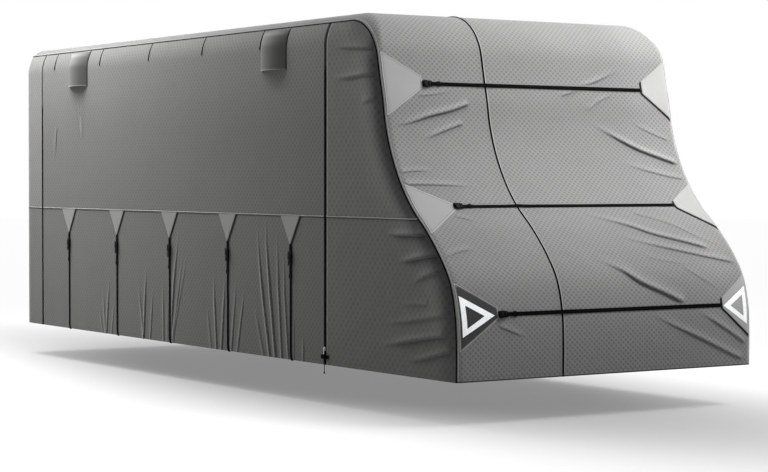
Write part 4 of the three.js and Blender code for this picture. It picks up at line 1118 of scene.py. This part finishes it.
def add_welts():
    """The raised seams between the upper cloth and the skirt."""
    height = BAND + 1.5
    bands = {side: length_at_height(side, BAND, EDGE_TUCK) for side in (-1, 1)}
    right_y, left_y = (edge_point(length, side, EDGE_TUCK)[0] for side, length in bands.items())
    runs = [
        ("band_welt_front", -1, right_y, right_y + 4, ZIP_Y - ZIP_WIDTH / 2 - 2, 60),
        ("band_welt_right", -1, right_y, ZIP_Y + ZIP_WIDTH / 2 + 2, REAR_SEAM_Y - 4, 90),
        ("band_welt_left", 1, left_y, left_y + 4, REAR_SEAM_Y - 4, 90),
    ]
    pieces = []
    for name, side, cord_y, start, end, stations in runs:
        y, z = np.linspace(start, end, stations), np.full(stations, height)
        centres = side_point(side, y, z, STAND["welt"] + corner_full(side, y - cord_y, z))
        pieces.append(cord(name, centres, (side, 0, 0), WELT, sides=8))
    centres = rear_point(np.linspace(0.004, 0.996, 90), np.full(90, height))[0]
    outs = units(centres - np.array([0, LENGTH - 400, height]))
    pieces.append(cord("band_welt_rear", centres + STAND["welt"] * outs, outs, WELT, sides=8))
    return pieces


# Materials


def linear(hex_colour):
    """An sRGB hex colour as linear values."""
    parts = [int(hex_colour[i : i + 2], 16) / 255 for i in (1, 3, 5)]
    return [part / 12.92 if part <= 0.04045 else ((part + 0.055) / 1.055) ** 2.4 for part in parts] + [1]


def feed(made, feeds):
    """Gives a node's inputs, by name or place, a socket or a value each."""
    for place, value in feeds.items():
        if isinstance(value, bpy.types.NodeSocket):
            made.id_data.links.new(value, made.inputs[place])
        else:
            made.inputs[place].default_value = value


def node(tree, kind, feeds, out=0, **settings):
    """Adds a node with its settings and feeds, and gives one of its outputs, by name or place."""
    made = tree.nodes.new("ShaderNode" + kind)
    for name, value in settings.items():
        setattr(made, name, value)
    feed(made, feeds)
    return made.outputs[out]


def new_material(name, colour, roughness):
    """A material with a plain shader, and the tree that its pattern is added to."""
    material = bpy.data.materials.new(name)
    material.use_nodes = True
    tree = material.node_tree
    shader = tree.nodes["Principled BSDF"]
    feed(shader, {"Base Color": linear(colour), "Roughness": roughness})
    return material, tree, shader


def crossed_waves(tree, place, pitch, wave):
    """A wave across the cloth times one up it, from -1 to 1, with a pitch for each in metres."""
    turns = (2 * math.pi / pitch[0], 2 * math.pi / pitch[1], 0)
    scaled = node(tree, "VectorMath", {0: place, 1: turns}, operation="MULTIPLY")
    turned = (node(tree, "SeparateXYZ", {0: scaled}, out=axis) for axis in "XY")
    across, up = (node(tree, "Math", {0: angle}, operation=wave) for angle in turned)
    return node(tree, "Math", {0: across, 1: up}, operation="MULTIPLY")


def line_at(tree, value, middle, half_width):
    """1 on a line where the value passes the middle, and 0 beyond its width."""
    off = node(tree, "Math", {0: value, 1: middle}, operation="SUBTRACT")
    return node(tree, "MapRange", {
        "Value": node(tree, "Math", {0: off}, operation="ABSOLUTE"),
        "From Min": 0.55 * half_width, "From Max": half_width, "To Min": 1.0, "To Max": 0.0,
    }, interpolation_type="SMOOTHSTEP")


def layered(tree, colour, *layers):
    """The colour, with the colour of each layer over it where the layer's share is 1."""
    for share, over in layers:
        colour = node(tree, "Mix", {0: share, 6: colour, 7: linear(over)}, out=2, data_type="RGBA")
    return colour


def cover_cloth(name, colour, pitch, dot_shade, seam_line, rumple, on_strip=False):
    """Spunbonded polypropylene, bonded by hot points: matt felted fibre, a lattice of small darker dents,
    pale topstitching beside its seams, drawn bright as a painted highlight of the cloth's edge, a dark line
    of painted shadow under the band seam's welt, and a doubled hem. seam_line is the colour of the
    topstitching with its painted highlight, and rumple the height of the cloth's slow unevenness in
    millimetres. The points are as coarse as in the photo."""
    material, tree, shader = new_material(name, colour, 0.82)
    cloth_map = node(tree, "UVMap", {}, uv_map="cloth")
    height = node(tree, "SeparateXYZ", {0: cloth_map}, out="Y")
    from_seam = node(tree, "Attribute", {}, out="Fac", attribute_name="from_seam")
    tone = node(tree, "Attribute", {}, out="Fac", attribute_name="tone")
    dots = node(tree, "MapRange", {
        "Value": crossed_waves(tree, cloth_map, pitch, "COSINE"), "From Min": -0.2, "From Max": 0.75,
    }, interpolation_type="SMOOTHSTEP")

    # Felted fibre is finer than the picture shows, so it is drawn 6 mm coarse, with slow patches of 0.4 m
    fibre = node(tree, "TexNoise", {"Vector": cloth_map, "Scale": 170.0, "Detail": 3.0})
    patches = node(tree, "TexNoise", {"Vector": cloth_map, "Scale": 2.4})
    uneven = node(tree, "Math", {0: fibre, 1: 0.22, 2: 0.89}, operation="MULTIPLY_ADD")
    slow = node(tree, "Math", {0: patches, 1: 0.18, 2: 0.91}, operation="MULTIPLY_ADD")
    shade = node(tree, "Math", {0: uneven, 1: slow}, operation="MULTIPLY")
    # The tone attribute is painted light and shade: lit crests and dark grooves of creases and folds, and the
    # light along each cloth
    shade = node(tree, "Math", {0: shade, 1: tone}, operation="MULTIPLY")
    if on_strip:
        hem = node(tree, "MapRange", {
            "Value": height, "From Min": 0.007, "From Max": 0.010, "To Min": 1.0, "To Max": 0.0,
        })
        dark_line = hem, "#151515"
    else:
        # Painted shadow: a dark line just under the band seam's welt
        dark_line = line_at(tree, height, BAND / 1000 - 0.006, 0.008), "#262626"
    # Pale topstitching beside the seams, drawn broad and bright as a painted highlight of the cloth's edge
    stitch_and_highlight = line_at(tree, from_seam, 8.5, 3.8), seam_line
    hem_stitch = line_at(tree, height, 0.026, 0.0022), dot_shade
    sewn = layered(tree, linear(colour), (dots, dot_shade), stitch_and_highlight, dark_line, hem_stitch)

    # Heights are in millimetres: dents 0.5 deep, fibre 0.25, the cloth sinks 2 into the seam
    dent = node(tree, "Math", {0: dots, 1: -0.5}, operation="MULTIPLY")
    felt = node(tree, "Math", {0: fibre, 1: 0.5, 2: dent}, operation="MULTIPLY_ADD")
    sink = node(tree, "MapRange", {
        "Value": from_seam, "From Max": 13.0, "To Min": -2.0, "To Max": 0.0,
    }, interpolation_type="SMOOTHSTEP")
    slack = node(tree, "TexNoise", {"Vector": cloth_map, "Scale": 7.0})
    rumpled = node(tree, "Math", {0: slack, 1: rumple, 2: felt}, operation="MULTIPLY_ADD")
    total = node(tree, "Math", {0: rumpled, 1: sink}, operation="ADD")
    feed(shader, {
        "Base Color": node(tree, "VectorMath", {0: sewn, 1: shade}, operation="MULTIPLY"),
        "Normal": node(tree, "Bump", {"Height": total, "Distance": 0.001}),
        "Sheen Weight": 0.12,
        "Sheen Roughness": 0.5,
    })
    return material


def patch_cloth(name, colour, rim_colour, rim_width, stitch_colour="#6c6c6c"):
    """Woven polyester laid double: tighter and smoother than the cover, with a turned and stitched rim."""
    material, tree, shader = new_material(name, colour, 0.75)
    from_rim = node(tree, "Attribute", {}, out="Fac", attribute_name="from_seam")
    tone = node(tree, "Attribute", {}, out="Fac", attribute_name="tone")
    place = node(tree, "TexCoord", {}, out="Object")
    # Threads 0.6 mm apart don't show, so the weave is drawn 3 mm coarse
    weave = node(tree, "TexNoise", {"Vector": place, "Scale": 330.0})
    woven = node(tree, "Math", {0: weave, 1: 0.16, 2: 0.92}, operation="MULTIPLY_ADD")
    # The tone attribute is painted light and shade, across the hoods
    shade = node(tree, "Math", {0: woven, 1: tone}, operation="MULTIPLY")
    rim = node(tree, "MapRange", {
        "Value": from_rim, "From Min": rim_width * 0.8, "From Max": rim_width, "To Min": 1.0, "To Max": 0.0,
    })
    stitches = line_at(tree, from_rim, rim_width + 5.0, 1.4)
    sewn = layered(tree, linear(colour), (rim, rim_colour), (stitches, stitch_colour))
    edge = node(tree, "MapRange", {
        "Value": from_rim, "From Max": rim_width + 4.0, "To Min": 0.0, "To Max": -0.8,
    }, interpolation_type="SMOOTHSTEP")
    total = node(tree, "Math", {0: weave, 1: 0.4, 2: edge}, operation="MULTIPLY_ADD")
    feed(shader, {
        "Base Color": node(tree, "VectorMath", {0: sewn, 1: shade}, operation="MULTIPLY"),
        "Normal": node(tree, "Bump", {"Height": total, "Distance": 0.001}),
        "Specular IOR Level": 0.12,
    })
    return material


def reflective_film():
    """Retroreflective film: white plastic with a fine comb of sealed cells, of a cool, even gloss."""
    material, tree, shader = new_material("retroreflective film", "#f2f4f5", 0.3)
    place = node(tree, "TexCoord", {}, out="Object")
    # Cells 3.5 mm wide are drawn 6 mm wide
    cells = node(tree, "TexVoronoi", {"Vector": place, "Scale": 170.0}, feature="DISTANCE_TO_EDGE")
    wall = node(tree, "MapRange", {"Value": cells, "From Min": 0.02, "From Max": 0.09})
    feed(shader, {
        "Base Color": layered(tree, linear("#c9ced2"), (wall, "#f2f4f5")),
        "Normal": node(tree, "Bump", {"Height": wall, "Distance": 0.0002}),
    })
    return material


def ribbed(name, colour, roughness, rib, cross, depth, above=None):
    """A textile of threads laid across and along: ribs rib metres apart, crossed every cross metres. above
    gives a height or length from which it has another colour, and that colour."""
    material, tree, shader = new_material(name, colour, roughness)
    place = node(tree, "UVMap", {}, uv_map="cloth")
    woven = crossed_waves(tree, place, (rib, cross), "SINE")
    light = node(tree, "MapRange", {"Value": woven, "From Min": -1.0, "To Min": 0.7, "To Max": 1.35})
    threads = linear(colour)[:3]
    if above:
        share = node(tree, "MapRange", {
            "Value": node(tree, "SeparateXYZ", {0: place}, out="Y"),
            "From Min": above[0] - 0.02, "From Max": above[0] + 0.02,
        })
        threads = layered(tree, linear(colour), (share, above[1]))
    feed(shader, {
        "Base Color": node(tree, "VectorMath", {0: threads, 1: light}, operation="MULTIPLY"),
        "Normal": node(tree, "Bump", {"Height": woven, "Distance": depth}),
        "Specular IOR Level": 0.02,
    })
    return material


def moulded_plastic():
    """Acetal, injection moulded with a spark-eroded grain: black, with a soft, slightly broken gloss."""
    material, tree, shader = new_material("black moulded acetal", "#050505", 0.45)
    place = node(tree, "TexCoord", {}, out="Object")
    grain = node(tree, "TexNoise", {"Vector": place, "Scale": 900.0})
    feed(shader, {
        "Roughness": node(tree, "MapRange", {"Value": grain, "To Min": 0.5, "To Max": 0.7}),
        "Normal": node(tree, "Bump", {"Height": grain, "Distance": 0.0001}),
        "Specular IOR Level": 0.06,
        "IOR": 1.48,
    })
    return material


def cast_zinc():
    """Zinc alloy, die cast and nickel plated: bright, a little worn and scratched."""
    material, tree, shader = new_material("nickel plated zinc", "#c4c5c6", 0.3)
    place = node(tree, "TexCoord", {}, out="Object")
    wear = node(tree, "TexNoise", {"Vector": place, "Scale": 260.0, "Detail": 4.0})
    feed(shader, {
        "Base Color": layered(tree, linear("#b4b5b7"), (wear, "#d4d5d6")),
        "Roughness": node(tree, "MapRange", {"Value": wear, "To Min": 0.2, "To Max": 0.48}),
        "Metallic": 1.0,
    })
    return material


# Studio


def add_camera():
    data = bpy.data.cameras.new("camera")
    data.lens = CAMERA["lens"]
    data.sensor_width = 36
    data.clip_end = 200
    camera = add_object("camera", data)
    turns = ((-CAMERA["yaw"], "Z"), (90 - CAMERA["pitch"], "X"), (CAMERA["roll"], "Z"))
    yaw, pitch, roll = (Matrix.Rotation(math.radians(angle), 4, axis) for angle, axis in turns)
    camera.matrix_world = Matrix.Translation(CAMERA["place"]) @ yaw @ pitch @ roll
    bpy.context.scene.camera = camera


def add_area_light(name, place, aim, size, power, spread):
    data = bpy.data.lights.new(name, "AREA")
    data.shape = "RECTANGLE"
    data.size, data.size_y = size
    data.energy = power
    data.spread = math.radians(spread)
    towards = (Vector(aim) - Vector(place)).to_track_quat("-Z", "Y")
    add_object(name, data).matrix_world = Matrix.Translation(Vector(place)) @ towards.to_matrix().to_4x4()


def add_world():
    """A white studio wall behind the cover, easing off towards the front and the door side."""
    world = bpy.data.worlds.new("studio")
    world.use_nodes = True
    tree = world.node_tree
    yaw = math.radians(CAMERA["yaw"])
    seen = node(tree, "TexCoord", {}, out="Generated")
    wall = (math.sin(yaw), math.cos(yaw), 0)
    facing = node(tree, "VectorMath", {0: seen, 1: wall}, out="Value", operation="DOT_PRODUCT")
    strength = node(tree, "MapRange", {
        "Value": facing, "From Min": 0.35, "From Max": 0.85, "To Min": WALL["away"], "To Max": WALL["behind"],
    }, interpolation_type="SMOOTHSTEP")
    feed(tree.nodes["Background"], {"Color": (1, 1, 1, 1), "Strength": strength})
    bpy.context.scene.world = world


def add_floor():
    shape = bmesh.new()
    bmesh.ops.create_circle(shape, cap_ends=True, segments=64, radius=60)
    shape.transform(Matrix.Translation((0, 0, -(HEIGHT + FLOOR_BELOW_HEM) / 1000)))
    floor = add_object("floor", mesh_of("floor", shape))
    material, tree, shader = new_material("white studio floor, its glow painted dim under the cover", "#6a6a6a", 0.9)
    # Painted light: the floor glows, dimmer under the cover as a painted shadow
    place = node(tree, "TexCoord", {}, out="Object")
    oval = node(tree, "VectorMath", {0: place, 1: (1, 0.35, 0)}, operation="MULTIPLY")
    away = node(tree, "VectorMath", {0: oval}, out="Value", operation="LENGTH")
    glow = node(tree, "MapRange", {
        "Value": away, "From Min": FLOOR_GLOW["from"], "From Max": FLOOR_GLOW["to"],
        "To Min": FLOOR_GLOW["under"], "To Max": FLOOR_GLOW["away"],
    }, interpolation_type="SMOOTHSTEP")
    feed(shader, {"Emission Color": (1, 1, 1, 1), "Emission Strength": glow})
    floor.data.materials.append(material)


# The finishes

# One cloth in three colours: the front and roof, with their dents and topstitching, are drawn lighter than
# the sides, as painted light
side_finish = cover_cloth(
    "spunbonded polypropylene, sides", "#4a4a48", (0.046, 0.0466), "#3f3f3d", "#787875", rumple=1.5
)
front_side_finish = cover_cloth(
    "spunbonded polypropylene, front sides", "#4b4b49", (0.057, 0.059), "#40403e", "#868683", rumple=2.5
)
strip_finish = cover_cloth(
    "spunbonded polypropylene, front and roof", "#656564", (0.0385, 0.0344), "#515150", "#8c8c8a",
    rumple=3, on_strip=True,
)
hood_finish = patch_cloth("coated polyester hood", "#626260", "#8f8f8c", 5.0)
light_finish = patch_cloth("light woven polyester", "#828282", "#939393", 5.0)
light_bound_finish = patch_cloth("light woven polyester, black binding", "#8e8e8d", "#050505", 19.0)
dark_finish = patch_cloth("dark woven polyester", "#333333", "#a0a09e", 4.0)
side_patch_finish = patch_cloth("side patch polyester, black binding", "#7e7e7c", "#050505", 28.0)
film_finish = reflective_film()
# Braid over a core: threads 1.5 mm apart, drawn 4 mm coarse
braid = ("#030303", 0.7, 0.006, 0.008, 0.0004)
cord_finish = ribbed("braided polyester piping", *braid)
rear_cord_finish = ribbed("braided polyester piping, rear", *braid, above=(1.79, "#454543"))
# Webbing's ribs are 1.2 mm apart, drawn 3 mm coarse
webbing_finish = ribbed("woven polypropylene webbing", "#050505", 0.75, 0.005, 0.003, 0.0003)
# Coil zip on woven tape: the teeth stand 2 mm apart, drawn 4 mm apart
zip_finish = ribbed("nylon coil zip", "#040405", 0.6, 0.013, 0.004, 0.0006, above=(1.93, "#2c2c2b"))
# The welt is drawn much paler than the cloth it is folded from, as a painted highlight along the band seam
welt_finish = ribbed("folded cover cloth, pale as a painted highlight", "#8b8b88", 0.8, 0.02, 0.006, 0.0002)
plastic_finish = moulded_plastic()
zinc_finish = cast_zinc()

# The pieces, each with its finish and the solid that it stands for. Flat sizes are in metres.

for side, name in SIDES:
    strip = add_strip(side, f"front_roof_{name}_sheet")
    finish_piece(strip, strip_finish, "cover_cloth", f"front_roof_cloth_{name}")

SHEETS = table(
    "solid cells flat area",
    ("front_side_skirt_right", (150, 104), (1.48, 0.96), 1.25),
    ("front_side_upper_right", (140, 140), (1.30, 1.30), 1.05),
    ("side_upper_right", (400, 56), (4.42, 1.31)),
    ("side_skirt_right", (640, 40), (4.42, 0.97)),
    ("side_skirt_left", (240, 40), (5.9, 0.97)),
    ("side_upper_left", (240, 60), (5.7, 1.31)),
    ("rear_skirt", (160, 36), (3.05, 0.97)),
    ("rear_upper", (160, 56), (3.05, 1.31)),
)
places = right_side_places() | left_side_places() | rear_places()
for sheet in SHEETS:
    solid = sheet["solid"]
    piece = surface(f"{solid}_cloth", *sheet["cells"], places[solid], CLOTH)
    finish = front_side_finish if solid.startswith("front_side") else side_finish
    finish_piece(piece, finish, "cover_cloth", solid)
    held = "hung" if "skirt" in solid else "stretched"
    sheet.get("area")
for welt in add_welts():
    finish_piece(welt, welt_finish, "cover_cloth")

finish_piece(add_edge_cord(), cord_finish, "piping", "edge_piping")
front_cord, rear_cords = add_seam_cords()
finish_piece(front_cord, cord_finish, "piping", "front_seam_piping")
for piece, (_, name) in zip(rear_cords, SIDES):
    finish_piece(piece, rear_cord_finish, "piping", f"rear_seam_piping_{name}")

for side, name in SIDES:
    for i, shape in enumerate(FRONT_STRAPS, 1):
        piece = front_patch(f"front_patch_{name}_{i}_cloth", side, shape)
        finish = light_bound_finish if side > 0 else dark_finish if i == 3 else light_finish
        slot = "dark_patch_cloth" if i == 3 else "light_patch_cloth"
        finish_piece(piece, finish, slot, f"front_patch_{name}_{i}")
        height = np.ptp(length_at([shape["bottom"], shape["top"]])) / 1000
        tip = np.ptp(length_at(shape["tip"])) / 1000
    triangle = reflective_frame(f"triangle_{name}", side)
    finish_piece(triangle, film_finish, "reflective_film", f"reflective_triangle_{name}")
    for i, y in enumerate(SIDE_STRAP_Y, 1):
        patch = side_patch(f"side_patch_{name}_{i}_cloth", side, y)
        finish_piece(patch, side_patch_finish, "side_patch_cloth", f"side_patch_{name}_{i}")
        strap = side_strap(f"side_webbing_{name}_{i}", side, y)
        finish_piece(strap, webbing_finish, "webbing", f"side_strap_{name}_{i}")
    for i, y in enumerate(VENT_FLAP_Y, 1):
        hood = add_hood(f"hood_{name}_{i}", side, y)
        finish_piece(hood, hood_finish, "hood_cloth", f"vent_flap_{name}_{i}")
    for dart in add_darts(f"dart_{name}", side):
        finish_piece(dart, cord_finish, "piping")

for i, strap in enumerate(FRONT_STRAPS, 1):
    finish_piece(front_strap(f"front_webbing_{i}", strap), webbing_finish, "webbing", f"front_strap_{i}")
for solid, sets in (("side_buckle_right", add_side_buckles()), ("front_buckle", add_front_buckles())):
    for i, (buckle, slide, doubled) in enumerate(sets, 1):
        finish_piece(buckle, plastic_finish, "buckle", f"{solid}_{i}")
        finish_piece(slide, plastic_finish, "buckle")
        finish_piece(doubled, webbing_finish, "webbing")

finish_piece(add_zip(), zip_finish, "zip_tape", "zip_tape")
finish_piece(add_zip_slider(), zinc_finish, "zip_metal", "zip_slider")
end_tape, end_cord, end_knot = add_zip_end()
finish_piece(end_tape, webbing_finish, "zip_tape", "zip_end_tab")
finish_piece(end_cord, cord_finish, "zip_tape")
finish_piece(end_knot, cord_finish, "zip_tape")

add_floor()
add_world()
add_camera()
for light in LIGHTS:
    add_area_light(**light)
bpy.context.scene.view_settings.view_transform = "Standard"
